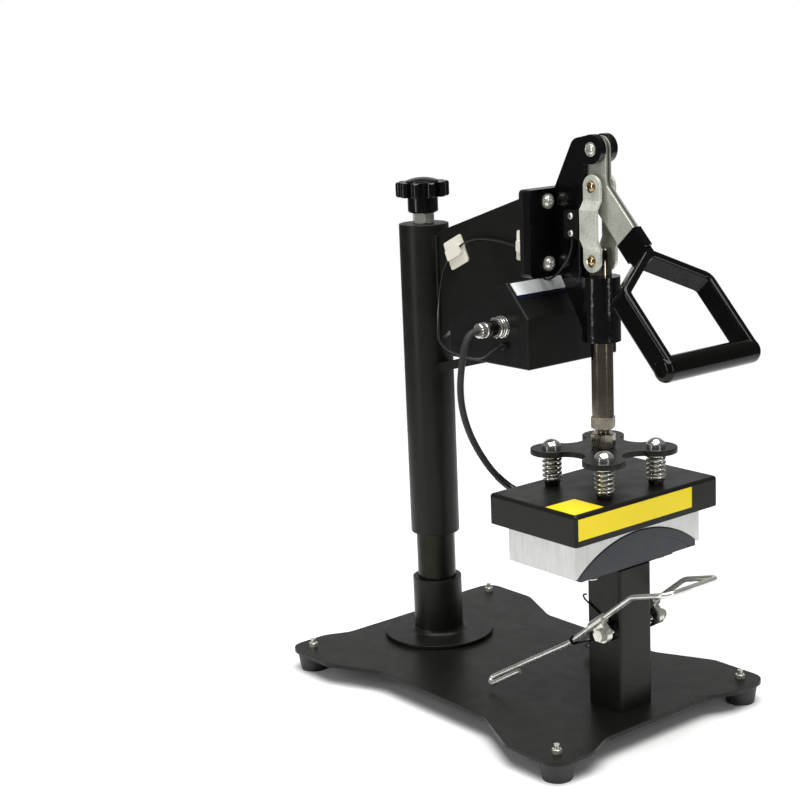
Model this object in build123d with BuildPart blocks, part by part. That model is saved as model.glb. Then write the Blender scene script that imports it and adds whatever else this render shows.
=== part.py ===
from build123d import *
import os
from math import asin, cos, hypot, pi, radians, sin, sqrt, tan

# Cap heat press: a heated block with a curved face, on a toggle clamp, presses a cap onto a
# curved form. Millimetres, +Z up. The operator stands at -Y, the column is at +Y and the clamp
# works in the plane X = 0. The pieces are drawn about the middle of the base plate, on the floor,
# and written about the middle of the overall length.

# ---------------------------------------------------------------- driving dimensions
# Base plate, an X-shaped sheet on four rubber feet
BASE_LENGTH = 384.0
BASE_WIDTH = 270.0
BASE_THICK = 4.0
WAIST_WIDTH = 220.0
END_RECESS = 11.0
LOBE_REACH = 64.0
WAIST_SLOPE = 54.0
END_LOBE = 45.0
END_SLOPE = 24.0
LOBE_RADIUS = 16.0
SLOPE_RADIUS = 22.0
FOOT_HEIGHT = 18.0
FOOT_TOP_R = 16.0
FOOT_BOTTOM_R = 13.0
FOOT_INSET = 18.0
FOOT_RECESS = 8.0
FOOT_RECESS_R = 6.5
FOOT_SCREW_R = 2.5
FOOT_HEAD_R = 5.0
FOOT_HEAD_HEIGHT = 3.5
FOOT_SCREW_END = 4.0
FOOT_NUT_FLATS = 8.0
FOOT_NUT_HEIGHT = 4.0

# Fits that several pieces share
SCREW_CLEARANCE = 0.3
THREAD_FIT = 0.05
PIN_FIT = 0.05
SLIDE_FIT = 0.08
SOFT_GAP = 0.3

# Column: a socket on a round flange, a bare steel post and the tube that slides on it
COLUMN_Y = 118.0
FLANGE_R = 54.5
FLANGE_THICK = 4.0
POST_R = 19.0
POST_WALL = 3.0
POST_TOP = 392.0
POST_NUT_HEIGHT = 18.0
SOCKET_HEIGHT = 56.0
SOCKET_WALL = 5.25
WELD_LEG = 5.0
SOCKET_SCREW_R = 3.0
SOCKET_SCREW_CIRCLE_R = 40.0
SOCKET_SCREW_HEAD_R = 5.6
SOCKET_SCREW_CONE = 2.6
SOCKET_SCREW_GRIP = 3.2
TUBE_R = 24.0
TUBE_BOTTOM = 129.5
TUBE_TOP = 436.5
TUBE_CAP_THICK = 6.0

# Height adjustment: a screw held in the tube's cap turns in the nut at the top of the post
ADJUST_R = 6.0
ADJUST_BOTTOM = 300.0
ADJUST_COLLAR_R = 9.0
ADJUST_COLLAR_HEIGHT = 5.0
ADJUST_PLAY = 0.1
LOCK_NUT_FLATS = 19.0
LOCK_NUT_HEIGHT = 10.3
KNOB_HUB_R = 14.6
KNOB_HUB_HEIGHT = 15.3
KNOB_R = 25.7
KNOB_RIM_HEIGHT = 14.0
KNOB_CROWN = 4.2
KNOB_CROWN_R = 16.0
KNOB_LOBES = 10
KNOB_LOBE_R = 4.3
KNOB_BEVEL = 1.3
KNOB_HUB_BEVEL = 1.5
KNOB_GROOVE_R = 18.8

# Arm: a gusset welded to the tube, with an end plate for the clamp
ARM_THICK = 8.0
ARM_TOP_AT_TUBE = 429.5
ARM_TOP_AT_END = 479.5
ARM_LOW_AT_TUBE = 327.0
ARM_LOW_MIDDLE = (22.0, 370.0)
ARM_LOW_AT_END = (-50.0, 403.4)
END_PLATE_BACK = -61.0
END_PLATE_THICK = 5.0
MOUNT_WIDTH = 80.0
MOUNT_BOTTOM = 404.0
MOUNT_TOP = 480.0
MOUNT_CORNER_R = 4.0
MOUNT_HOLES_X = 37.0
MOUNT_HOLES_Z = 54.0
MOUNT_SCREW_R = 3.0
MOUNT_HEAD_R = 5.0
MOUNT_HEAD_HEIGHT = 3.3
MOUNT_KEY_FLATS = 4.0
MOUNT_KEY_DEPTH = 2.0
MOUNT_WASHER_R = 6.5
MOUNT_WASHER_THICK = 1.2

# Toggle clamp: the casting, the lever, two links and the plunger
PRESS_Y = -118.5
CLAMP_FLANGE_THICK = 8.0
CHEEK_GAP = 8.0
CHEEK_THICK = 6.0
RIB_THICK = 10.0
CLAMP_SLOT_BACK = -100.0
CHEEK_SHOULDER = (21.2, 8.6)
CHEEK_FRONT_EDGE = [(9.0, -8.6), (12.5, -42.8), (16.5, -53.8), (14.5, -73.8), (14.5, -110.1)]
CHEEK_ROUND = 1.5
SHOULDER_R = 11.0
RIB_DROP = 6.0
EAR_R = 12.5
LEVER_PIVOT_Z = 513.8
LINK_ARM = 31.3
LINK_LENGTH = 63.0
LEVER_THICK = 7.0
LEVER_END_R = 11.0
LEVER_ARM_WIDTH = 24.0
PIVOT_PIN_R = 5.0
PIVOT_HEAD_R = 6.0
LINK_PIN_R = 4.0
LINK_HEAD_R = 5.2
RIVET_HEAD_R = 5.2
PIN_HEAD = 2.0
LINK_THICK = 3.0
LINK_WIDTH = 20.0
LINK_TOP_X = 7.0
LINK_MIDDLE_X = 12.0
LINK_LOW_X = 8.0
LINK_BULGE_BOTTOM = 438.0
LINK_BULGE_TOP = 463.0
LINK_JOGGLE = 8.0
SLEEVE_TOP = 405.7
SLEEVE_BOTTOM = 349.5
SLEEVE_R = 16.6
PLUNGER_R = 9.5
PLUNGER_FLATS = 15.0
PLUNGER_TOP = 430.0
PLUNGER_FLATS_BOTTOM = 399.5
PLUNGER_BOTTOM = 283.0
PLUNGER_BEVEL = 1.0

# Grip: the lever's strap opened into a five-sided loop and dipped in vinyl
GRIP_ANGLE = 42.4
GRIP_APEX_Y = -164.6
GRIP_APEX_Z = 428.0
GRIP_HALF = 54.0
GRIP_SHOULDER = 35.3
GRIP_LENGTH = 119.5
GRIP_SIDE = 8.0
GRIP_BAR_R = 10.5
GRIP_BAR_SWELL = 2.0
GRIP_BAR_ROUND = 5.0
GRIP_WIDTH = 21.0
GRIP_BEND_R = 12.0
INNER_BEND_R = 1.5
GRIP_ROUND = 3.0
NECK_LENGTH = 19.0
NECK_COAT = 0.9
LOOP_COAT = 2.25
LOOP_STRAP = 3.5
LOOP_STRAP_WIDTH = 16.0

# Press head: stud, spider, four sprung guide bolts, cover and heated block
STUD_R = 6.0
STUD_LENGTH = 58.0
STUD_BOTTOM = 247.0
STUD_NUT_FLATS = 19.0
STUD_NUT_UPPER = 11.0
STUD_NUT_LOWER = 12.6
SPIDER_TOP = 254.8
SPIDER_THICK = 5.0
SPIDER_LOBE_R = 18.8
SPIDER_HUB_R = 30.0
GUIDE_PITCH = 64.0
GUIDE_R = 5.0
GUIDE_DEPTH = 12.0
GUIDE_HEAD_R = 8.4
GUIDE_HEAD_HEIGHT = 7.8
GUIDE_NUT_FLATS = 17.0
GUIDE_NUT_HEIGHT = 5.4
SPRING_R = 8.8
SPRING_WIRE_R = 1.3
SPRING_TURNS = 5.5
COVER_WIDTH = 176.0
COVER_DEPTH = 107.0
COVER_TOP = 220.9
COVER_HEIGHT = 27.3
COVER_WALL = 2.0
COVER_ROUND = 3.0
BLOCK_WIDTH = 156.0
BLOCK_DEPTH = 82.0
BLOCK_TOP = 208.0
BLOCK_BOTTOM = 160.5
BLOCK_ROUND = 1.0
BOARD_INSET = 2.0
ELEMENT_R = 4.0
ELEMENT_SPACING = 30.0
ELEMENT_Z = 199.0
ELEMENT_LENGTH = 130.0
PROBE_R = 2.0
PROBE_LENGTH = 30.0
PROBE_TAIL = 4.0
GLAND_X = -42.0
GLAND_Z = 210.5
GLAND_R = 6.0
GLAND_LENGTH = 7.0
GLAND_BEVEL = 1.2

# Lower form: a curved block and its silicone pad on a square post
ARCH_R = 117.0
ARCH_CENTRE_Z = 70.6
PAD_THICK = 8.0
PAD_WIDTH = 144.0
PAD_DEPTH = 84.0
FORM_DEPTH = 82.0
FORM_BOTTOM = 157.0
FORM_PLATE_THICK = 4.0
FORM_PLATE_WIDTH = 104.0
FORM_PLATE_DEPTH = 70.0
FORM_PLATE_CORNER_R = 4.0
FORM_SCREW_R = 3.0
FORM_SCREW_DEPTH = 9.0
FORM_SCREWS_X = 84.0
FORM_SCREWS_Y = 50.0
FORM_HEAD_R = 5.0
FORM_HEAD_HEIGHT = 3.3
PRESS_POST_Y = -135.0
PRESS_POST_SIDE = 40.0
PRESS_POST_WALL = 2.5
PRESS_POST_CORNER_R = 3.0

# Tension bail: a bent wire with two hubs on one pivot bolt, pushed by torsion springs
BAIL_WIRE_R = 2.5
BAIL_PIVOT_Y = -148.0
BAIL_PIVOT_Z = 98.0
BAIL_BOLT_R = 3.0
BAIL_BOLT_REACH = 44.0
BAIL_BOLT_FLATS = 10.0
BAIL_HEAD_HEIGHT = 4.5
BAIL_ARM_X = 33.0
BAIL_HUB_R = 7.5
BAIL_HUB_THICK = 6.0
BAIL_SLEEVE_R = 4.4
BAIL_SLEEVE_LENGTH = 20.0
BAIL_TAB = 6.0
BAIL_FRONT = (BAIL_ARM_X, -221.5, 151.0)
BAIL_BEND = (BAIL_ARM_X, -182.0, 140.0)
BAIL_KNEE = (BAIL_ARM_X, -105.5, 78.4)
BAIL_HOOK = [(61.0, -29.0, 31.2), (65.5, -33.7, 27.4), (54.5, -61.5, 45.2)]
BAIL_RADII = [3.4, 3.4, 30.0, 20.0, 10.0]
TORSION_R = 7.0
TORSION_WIRE_R = 0.8
TORSION_TURNS = 3.2
TORSION_START_X = 20.9
TORSION_LENGTH = 4.6
TORSION_LEG_X = 28.9
TORSION_CATCH = 6.0
TORSION_REST = (-113.0, 118.5)
TORSION_SAG = 2.0
TORSION_CURL = [(2.5, 3.5), (-2.0, 5.0)]
TORSION_CURL_R = 1.5
TORSION_LEG_R = 20.0

# Control box under the arm, its socket, plug and switch
BOX_WIDTH = 109.0
BOX_MIDDLE_X = 5.5
BOX_FRONT = -78.0
BOX_BACK = 27.0
BOX_BOTTOM = 325.0
BOX_FRONT_TOP = 370.0
BOX_RIDGE_Y = -51.0
BOX_RIDGE_Z = 400.0
BOX_BACK_TOP = 355.5
BOX_WALL = 2.5
BOX_SEAM = -67.0
BOX_ROUND = 1.5
DISPLAY_WIDTH = 101.0
DISPLAY_HEIGHT = 13.0
DISPLAY_THICK = 1.0
DISPLAY_MARGIN = 0.8
BOARD_WIDTH = 82.0
BOARD_LENGTH = 56.0
BOARD_Y = -22.0
BOARD_THICK = 1.6
BOARD_LIFT = 5.0
STANDOFF_R = 3.0
BRACKET_WIDTH = 16.0
BRACKET_HEIGHT = 9.0
BRACKET_AT_TUBE = 294.5
BRACKET_SLOPE = 0.265
BRACKET_PAD = 4.0
BRACKET_FRONT = -30.0
BOX_SCREW_R = 1.5
BOX_SCREW_HEAD_R = 2.8
BOX_SCREW_HEAD = 1.8
BOX_SCREW_LENGTH = 8.0
BOX_SCREWS_Y = (-24.0, -4.0)
OUTLET_Y = -45.5
OUTLET_Z = 360.5
OUTLET_RING_R = 9.8
OUTLET_RING = 4.0
OUTLET_BODY_R = 7.5
PLUG_RING_R = 9.2
PLUG_RING = 5.0
PLUG_BODY_R = 7.0
PLUG_BODY = 11.0
PLUG_TAIL_R = 6.8
PLUG_TAIL = 9.0
SWITCH_BOX_Y = -36.0
SWITCH_BOX_Z = 346.0
SWITCH_BOX_LENGTH = 22.0
SWITCH_BOX_HEIGHT = 16.0
SWITCH_BOX_DEPTH = 12.0
SWITCH_BEZEL = 2.0
SWITCH_BEZEL_RIM = 1.5
SWITCH_WALL = 1.2
ROCKER_R = 9.5
ROCKER_TILT = 10.0
ROCKER_DROP = 2.5
ROCKER_SKIRT = 3.5
ROCKER_RISE = 2.6
ROCKER_DIP = 1.2
ROCKER_PIN_R = 1.0
ROCKER_PLAY = 0.3
INLET_X = 36.0
INLET_Z = 338.0
INLET_R = 6.5
INLET_LENGTH = 9.0
INLET_BORE_R = 3.2
INLET_BEVEL = 1.5

# Cords, each a limp round lead on the route that it lies in
CABLE_R = 3.0
BOX_LEFT = BOX_MIDDLE_X - BOX_WIDTH / 2
BOX_RIGHT = BOX_MIDDLE_X + BOX_WIDTH / 2
CABLE_PLUG_END = BOX_LEFT - OUTLET_RING - PLUG_RING - PLUG_BODY - PLUG_TAIL
CABLE_GLAND_END = PRESS_Y + COVER_DEPTH / 2 + GLAND_LENGTH
CABLE_ROUTE = [
    (CABLE_PLUG_END, OUTLET_Y, OUTLET_Z),
    (-84.0, OUTLET_Y, OUTLET_Z),
    (-89.5, -45.8, 357.0),
    (-92.8, -45.3, 351.0),
    (-93.6, -43.8, 343.5),
    (-93.2, -40.2, 330.5),
    (-91.8, -35.8, 314.0),
    (-89.2, -33.2, 297.5),
    (-85.0, -32.3, 281.0),
    (-79.0, -33.0, 264.5),
    (-71.0, -34.6, 248.5),
    (-61.0, -36.4, 233.0),
    (-52.8, -38.2, 223.0),
    (-46.8, -41.2, 216.2),
    (-43.2, -45.8, 212.0),
    (GLAND_X, -51.6, GLAND_Z),
    (GLAND_X, CABLE_GLAND_END, GLAND_Z),
]
LEAD_R = 1.0
LEAD_ARM_X = -7.0
LEAD_ROUTE = [
    (-13.8, -98.7, 438.0),
    (-13.8, -98.7, 431.0),
    (-15.6, -95.8, 421.5),
    (-16.4, -88.5, 412.0),
    (-16.2, -79.0, 404.0),
    (-15.0, -68.0, 399.0),
    (-12.5, -56.5, 401.5),
    (-9.2, -48.0, 409.5),
    (LEAD_ARM_X, -39.5, 418.5),
    (LEAD_ARM_X, -24.5, 424.6),
    (LEAD_ARM_X, -3.0, 427.6),
    (LEAD_ARM_X, 17.0, 428.9),
    (LEAD_ARM_X, 37.0, 427.8),
    (LEAD_ARM_X, 55.0, 421.2),
    (LEAD_ARM_X, 70.5, 410.5),
    (-8.6, 78.0, 399.5),
    (-11.5, 80.5, 386.0),
    (-15.5, 80.0, 370.5),
    (-23.5, 73.5, 355.5),
    (-35.0, 60.5, 344.5),
    (-48.0, 44.0, 337.0),
    (-56.5, 24.0, 333.2),
    (-60.0, 3.0, 331.2),
    (-60.0, -18.0, 330.8),
    (-62.5, -31.5, 332.4),
    (-63.8, -40.4, 336.6),
    (-61.6, -45.6, 341.0),
    (-57.0, -47.3, 342.7),
    (-52.0, -47.3, 342.7),
]
GROMMET_R = 3.5
GROMMET_LENGTH = 3.0
GROMMET_BORE_R = 1.3
CLIP_SIDE = 27.0
CLIP_THICK = 1.5
CLIP_BRIDGE = 5.5
CLIP_BRIDGE_WIDTH = 10.0
CLIP_BRIDGE_LENGTH = 20.8
CLIP_SPOTS = [(-32.5, 425.0, 3.0), (65.5, 412.7, -25.0)]
CLIP_ROUND = 2.0

# Micro switch on the clamp's cheek
SWITCH_Y = -99.4
SWITCH_BOTTOM = 438.0
SWITCH_HEIGHT = 24.0
SWITCH_DEPTH = 16.6
SWITCH_THICK = 6.0
SWITCH_ROUND = 1.0
SWITCH_SCREW_PITCH = 14.8
SWITCH_SCREW_R = 1.25
SWITCH_SCREW_HEAD_R = 2.9
SWITCH_SCREW_HEAD = 1.4

# ---------------------------------------------------------------- derived positions
PLATE_TOP = FOOT_HEIGHT + BASE_THICK
FLANGE_TOP = PLATE_TOP + FLANGE_THICK
FOOT_X = BASE_WIDTH / 2 - FOOT_INSET
FOOT_Y = BASE_LENGTH / 2 - FOOT_INSET
TUBE_BORE_R = POST_R + SLIDE_FIT
END_PLATE_FRONT = END_PLATE_BACK - END_PLATE_THICK
CLAMP_FRONT = END_PLATE_FRONT - CLAMP_FLANGE_THICK
MOUNT_CENTRE_Z = (MOUNT_TOP + MOUNT_BOTTOM) / 2
CHEEK_OUT = CHEEK_GAP / 2 + CHEEK_THICK
LINK_PIVOT_Z = LEVER_PIVOT_Z - LINK_ARM
PLUNGER_PIVOT_Z = LINK_PIVOT_Z - LINK_LENGTH
KNOB_BOTTOM = TUBE_TOP + ADJUST_PLAY + LOCK_NUT_HEIGHT
RIM_BOTTOM = KNOB_BOTTOM + KNOB_HUB_HEIGHT
RIM_TOP = RIM_BOTTOM + KNOB_RIM_HEIGHT
SPIDER_BOTTOM = SPIDER_TOP - SPIDER_THICK
COVER_BOTTOM = COVER_TOP - COVER_HEIGHT
COVER_CEILING = COVER_TOP - COVER_WALL
COVER_BACK = PRESS_Y + COVER_DEPTH / 2
GUIDE_NUT_TOP = COVER_TOP + GUIDE_NUT_HEIGHT
FORM_PLATE_BOTTOM = FORM_BOTTOM - FORM_PLATE_THICK
GRIP_TURN = radians(GRIP_ANGLE)
GRIP_BAR_AT = GRIP_LENGTH - GRIP_BAR_R
GRIP_REACH = -GRIP_APEX_Y + GRIP_BAR_AT * sin(GRIP_TURN) + GRIP_BAR_R
MIDDLE_Y = (GRIP_REACH - BASE_LENGTH / 2) / 2
GRIP_PLANE = Plane(
    origin=(0, GRIP_APEX_Y, GRIP_APEX_Z),
    x_dir=(1, 0, 0),
    z_dir=(0, -cos(GRIP_TURN), sin(GRIP_TURN)),
)
BOX_SLOPE_PLANE = Plane(
    origin=(0, BOX_RIDGE_Y, BOX_RIDGE_Z),
    x_dir=(1, 0, 0),
    z_dir=(0, BOX_FRONT_TOP - BOX_RIDGE_Z, BOX_RIDGE_Y - BOX_FRONT),
)
MIN_Z = (Align.CENTER, Align.CENTER, Align.MIN)
MAX_Z = (Align.CENTER, Align.CENTER, Align.MAX)
FEET = GridLocations(2 * FOOT_X, 2 * FOOT_Y, 2, 2).locations
GUIDE_GRID = GridLocations(GUIDE_PITCH, GUIDE_PITCH, 2, 2).locations
GUIDES = [Location((0, PRESS_Y, 0)) * spot for spot in GUIDE_GRID]


# ---------------------------------------------------------------- helpers
def save(piece, name):
    """Label a finished piece and write its STEP file about the middle of the overall length."""
    piece.part.label = name
    export_step(piece.part.moved(Location((0, MIDDLE_Y, 0))), f"parts/{name}.step")


def hex_nut(flats, height, bore_r):
    """A hexagon nut standing on the XY plane, with its corners turned off at both ends."""
    corner = flats / sqrt(3)
    bevel = corner - flats / 2 + 0.1
    drop = bevel * tan(radians(30))
    with BuildPart() as nut:
        with BuildSketch():
            RegularPolygon(radius=flats / 2, side_count=6, major_radius=False)
            Circle(bore_r, mode=Mode.SUBTRACT)
        extrude(amount=height)
        with BuildSketch(Plane.XZ):
            with BuildLine():
                Polyline(
                    (0, 0),
                    (corner - bevel, 0),
                    (corner, drop),
                    (corner, height - drop),
                    (corner - bevel, height),
                    (0, height),
                    close=True,
                )
            make_face()
        revolve(axis=Axis.Z, mode=Mode.INTERSECT)
    return nut.part


def domed_head(radius, height, rim):
    """A button head standing on the XY plane: a short rim under a round dome."""
    rise = height - rim
    dome_r = (radius**2 + rise**2) / (2 * rise)
    half = asin(radius / dome_r) / 2
    with BuildPart() as head:
        with BuildSketch(Plane.XZ):
            with BuildLine():
                Polyline((0, height), (0, 0), (radius, 0), (radius, rim))
                ThreePointArc(
                    (radius, rim),
                    (dome_r * sin(half), height - dome_r * (1 - cos(half))),
                    (0, height),
                )
            make_face()
        revolve(axis=Axis.Z)
    return head.part


def cord_radii(route):
    """The largest even arcs that the runs of a cord's route allow."""
    radii = []
    for before, here, after in zip(route, route[1:], route[2:]):
        first = Vector(*here) - Vector(*before)
        second = Vector(*after) - Vector(*here)
        turn = radians(first.get_angle(second))
        radii.append(0.45 * min(first.length, second.length) / tan(turn / 2))
    return radii


def route_length(route, radii):
    """Length of a route whose corners are rounded to the given radii."""
    total = 0
    for start, end in zip(route, route[1:]):
        total += (Vector(*end) - Vector(*start)).length
    for before, here, after, radius in zip(route, route[1:], route[2:], radii):
        turn = radians((Vector(*here) - Vector(*before)).get_angle(Vector(*after) - Vector(*here)))
        total += radius * (turn - 2 * tan(turn / 2))
    return total


def round_bar(route, radii, radius):
    """A round bar swept along a route of straight runs joined by arcs."""
    with BuildPart() as bar:
        with BuildLine() as path:
            FilletPolyline(*route, radius=radii)
        with BuildSketch(Plane(origin=path.line @ 0, z_dir=path.line % 0)):
            Circle(radius)
        sweep()
    return bar.part


def print_cord(name, route, radius, piece):
    """Print a cord's radii, its length, and its volume over its section times that length."""
    radii = cord_radii(route)
    length = route_length(route, radii)
    ratio = piece.volume / (pi * radius**2 * length)
    print(name, "radii", [round(r, 1) for r in radii])
    print(name, "length", round(length, 1), "volume ratio", round(ratio, 4))


def across(x, y, z):
    """A plane whose normal is +X, to make pins, bolts and plugs that lie across the press."""
    return Plane(origin=(x, y, z), x_dir=(0, 1, 0), z_dir=(1, 0, 0))


def facing_front(x, y, z):
    """A plane whose normal is -Y, to make what faces the operator."""
    return Plane(origin=(x, y, z), x_dir=(1, 0, 0), z_dir=(0, -1, 0))


os.makedirs("parts", exist_ok=True)

# ================================================================ base
half_l = BASE_LENGTH / 2
half_w = BASE_WIDTH / 2
quarter = [
    (half_w - END_LOBE - END_SLOPE, half_l - END_RECESS),
    (half_w - END_LOBE, half_l),
    (half_w, half_l),
    (half_w, half_l - LOBE_REACH),
    (WAIST_WIDTH / 2, half_l - LOBE_REACH - WAIST_SLOPE),
]
outline = quarter + [(x, -y) for x, y in reversed(quarter)]
outline = outline + [(-x, -y) for x, y in quarter] + [(-x, y) for x, y in reversed(quarter)]

with BuildPart() as base_plate:
    with BuildSketch(Plane.XY.offset(FOOT_HEIGHT)) as base_outline:
        with BuildLine():
            Polyline(*outline, close=True)
        make_face()
        corners = base_outline.vertices()
        lobes = [v for v in corners if abs(v.X) > half_w - 1 and abs(v.Y) > half_l - 1]
        slopes = [v for v in corners if abs(v.X) <= half_w - 1 or abs(v.Y) <= half_l - 1]
        fillet(slopes, SLOPE_RADIUS)
        lobes = [v for v in base_outline.vertices() if abs(v.X) > half_w - 1 and abs(v.Y) > half_l - 1]
        fillet(lobes, LOBE_RADIUS)
    extrude(amount=BASE_THICK)
    with BuildSketch(Plane.XY.offset(FOOT_HEIGHT)):
        with Locations(FEET):
            Circle(FOOT_SCREW_R + SCREW_CLEARANCE)
        with Locations((0, COLUMN_Y)):
            with PolarLocations(SOCKET_SCREW_CIRCLE_R, 4, start_angle=45):
                Circle(SOCKET_SCREW_R + SCREW_CLEARANCE)
    extrude(amount=BASE_THICK, mode=Mode.SUBTRACT)
    with Locations((0, COLUMN_Y, FOOT_HEIGHT)):
        with PolarLocations(SOCKET_SCREW_CIRCLE_R, 4, start_angle=45):
            Cone(
                SOCKET_SCREW_HEAD_R + SCREW_CLEARANCE,
                SOCKET_SCREW_R + SCREW_CLEARANCE,
                SOCKET_SCREW_CONE,
                align=MIN_Z,
                mode=Mode.SUBTRACT,
            )
save(base_plate, "base_plate")

with BuildPart() as rubber_feet:
    with Locations(FEET):
        Cone(FOOT_BOTTOM_R, FOOT_TOP_R, FOOT_HEIGHT, align=MIN_Z)
        Cylinder(FOOT_RECESS_R, FOOT_RECESS, align=MIN_Z, mode=Mode.SUBTRACT)
        Cylinder(FOOT_SCREW_R + SCREW_CLEARANCE, FOOT_HEIGHT, align=MIN_Z, mode=Mode.SUBTRACT)
save(rubber_feet, "rubber_feet")

with BuildPart() as foot_screws:
    with Locations(Location((0, 0, FOOT_RECESS))):
        with Locations(FEET):
            Cylinder(FOOT_HEAD_R, FOOT_HEAD_HEIGHT, align=MAX_Z)
            Cylinder(
                FOOT_SCREW_R,
                PLATE_TOP + FOOT_NUT_HEIGHT + FOOT_SCREW_END - FOOT_RECESS,
                align=MIN_Z,
            )
    with Locations(Location((0, 0, PLATE_TOP))):
        with Locations(FEET):
            add(hex_nut(FOOT_NUT_FLATS, FOOT_NUT_HEIGHT, FOOT_SCREW_R + THREAD_FIT))
save(foot_screws, "foot_screws")

# ================================================================ column
with BuildPart() as column_socket:
    with BuildSketch(Plane.XY.offset(PLATE_TOP)):
        with Locations((0, COLUMN_Y)):
            Circle(FLANGE_R)
    extrude(amount=FLANGE_THICK)
    with BuildSketch(Plane.XY.offset(FLANGE_TOP)):
        with Locations((0, COLUMN_Y)):
            Circle(POST_R + SOCKET_WALL)
    extrude(amount=SOCKET_HEIGHT)
    seats = column_socket.edges().filter_by(GeomType.CIRCLE).group_by(Axis.Z)
    foot_ring = [e for group in seats for e in group if abs(e.center().Z - FLANGE_TOP) < 0.01]
    fillet([e for e in foot_ring if abs(e.radius - POST_R - SOCKET_WALL) < 0.01], WELD_LEG)
    with BuildSketch(Plane.XY.offset(FLANGE_TOP)):
        with Locations((0, COLUMN_Y)):
            Circle(POST_R)
    extrude(amount=SOCKET_HEIGHT, mode=Mode.SUBTRACT)
    with Locations((0, COLUMN_Y, PLATE_TOP)):
        with PolarLocations(SOCKET_SCREW_CIRCLE_R, 4, start_angle=45):
            Cylinder(SOCKET_SCREW_R + THREAD_FIT, SOCKET_SCREW_GRIP, align=MIN_Z, mode=Mode.SUBTRACT)
save(column_socket, "column_socket")

with BuildPart() as socket_screws:
    with Locations((0, COLUMN_Y, FOOT_HEIGHT)):
        with PolarLocations(SOCKET_SCREW_CIRCLE_R, 4, start_angle=45):
            Cone(SOCKET_SCREW_HEAD_R, SOCKET_SCREW_R, SOCKET_SCREW_CONE, align=MIN_Z)
            Cylinder(SOCKET_SCREW_R, BASE_THICK + SOCKET_SCREW_GRIP, align=MIN_Z)
save(socket_screws, "socket_screws")

with BuildPart() as inner_post:
    with BuildSketch(Plane.XY.offset(FLANGE_TOP)):
        with Locations((0, COLUMN_Y)):
            Circle(POST_R)
            Circle(POST_R - POST_WALL, mode=Mode.SUBTRACT)
    extrude(amount=POST_TOP - FLANGE_TOP)
save(inner_post, "inner_post")

with BuildPart() as post_nut:
    with BuildSketch(Plane.XY.offset(POST_TOP - POST_NUT_HEIGHT)):
        with Locations((0, COLUMN_Y)):
            Circle(POST_R - POST_WALL)
            Circle(ADJUST_R + THREAD_FIT, mode=Mode.SUBTRACT)
    extrude(amount=POST_NUT_HEIGHT)
save(post_nut, "post_nut")

with BuildPart() as height_tube:
    with BuildSketch(Plane.XY.offset(TUBE_BOTTOM)):
        with Locations((0, COLUMN_Y)):
            Circle(TUBE_R)
            Circle(TUBE_BORE_R, mode=Mode.SUBTRACT)
    extrude(amount=TUBE_TOP - TUBE_BOTTOM)
save(height_tube, "height_tube")

with BuildPart() as tube_cap:
    with BuildSketch(Plane.XY.offset(TUBE_TOP - TUBE_CAP_THICK)):
        with Locations((0, COLUMN_Y)):
            Circle(TUBE_BORE_R)
            Circle(ADJUST_R + SLIDE_FIT, mode=Mode.SUBTRACT)
    extrude(amount=TUBE_CAP_THICK)
save(tube_cap, "tube_cap")

# ================================================================ height adjustment
with BuildPart() as adjust_screw:
    with Locations((0, COLUMN_Y, ADJUST_BOTTOM)):
        Cylinder(ADJUST_R, RIM_BOTTOM - ADJUST_BOTTOM, align=MIN_Z)
    with Locations((0, COLUMN_Y, TUBE_TOP - TUBE_CAP_THICK - ADJUST_PLAY)):
        Cylinder(ADJUST_COLLAR_R, ADJUST_COLLAR_HEIGHT, align=MAX_Z)
    with Locations((0, COLUMN_Y, TUBE_TOP + ADJUST_PLAY)):
        add(hex_nut(LOCK_NUT_FLATS, LOCK_NUT_HEIGHT, ADJUST_R + THREAD_FIT))
save(adjust_screw, "adjust_screw")

with BuildPart() as star_knob:
    with BuildSketch(Plane.XY.offset(RIM_BOTTOM)):
        with Locations((0, COLUMN_Y)):
            Circle(KNOB_GROOVE_R)
            with PolarLocations(KNOB_R - KNOB_LOBE_R, KNOB_LOBES):
                Circle(KNOB_LOBE_R)
    extrude(amount=KNOB_RIM_HEIGHT)
    with BuildSketch(Plane(origin=(0, COLUMN_Y, RIM_BOTTOM), x_dir=(1, 0, 0), z_dir=(0, -1, 0))):
        with BuildLine():
            Polyline(
                (0, 0),
                (KNOB_R - KNOB_BEVEL, 0),
                (KNOB_R, KNOB_BEVEL),
                (KNOB_R, KNOB_RIM_HEIGHT - KNOB_BEVEL),
                (KNOB_R - KNOB_BEVEL, KNOB_RIM_HEIGHT),
                (0, KNOB_RIM_HEIGHT),
                close=True,
            )
        make_face()
    revolve(axis=Axis((0, COLUMN_Y, 0), (0, 0, 1)), mode=Mode.INTERSECT)
    with BuildSketch(Plane.XY.offset(KNOB_BOTTOM)):
        with Locations((0, COLUMN_Y)):
            Circle(KNOB_HUB_R)
    extrude(amount=KNOB_HUB_HEIGHT)
    chamfer(star_knob.faces().sort_by(Axis.Z)[0].edges(), KNOB_HUB_BEVEL)
    with Locations((0, COLUMN_Y, RIM_TOP)):
        add(domed_head(KNOB_CROWN_R, KNOB_CROWN, KNOB_CROWN / 4))
    with Locations((0, COLUMN_Y, KNOB_BOTTOM)):
        Cylinder(ADJUST_R, KNOB_HUB_HEIGHT, align=MIN_Z, mode=Mode.SUBTRACT)
save(star_knob, "star_knob")

# ================================================================ arm and clamp casting
MOUNT_POINTS = [
    (sx * MOUNT_HOLES_X / 2, MOUNT_CENTRE_Z + sz * MOUNT_HOLES_Z / 2) for sx in (-1, 1) for sz in (-1, 1)
]
mount_middle = (MOUNT_TOP + MOUNT_BOTTOM) / 2

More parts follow.
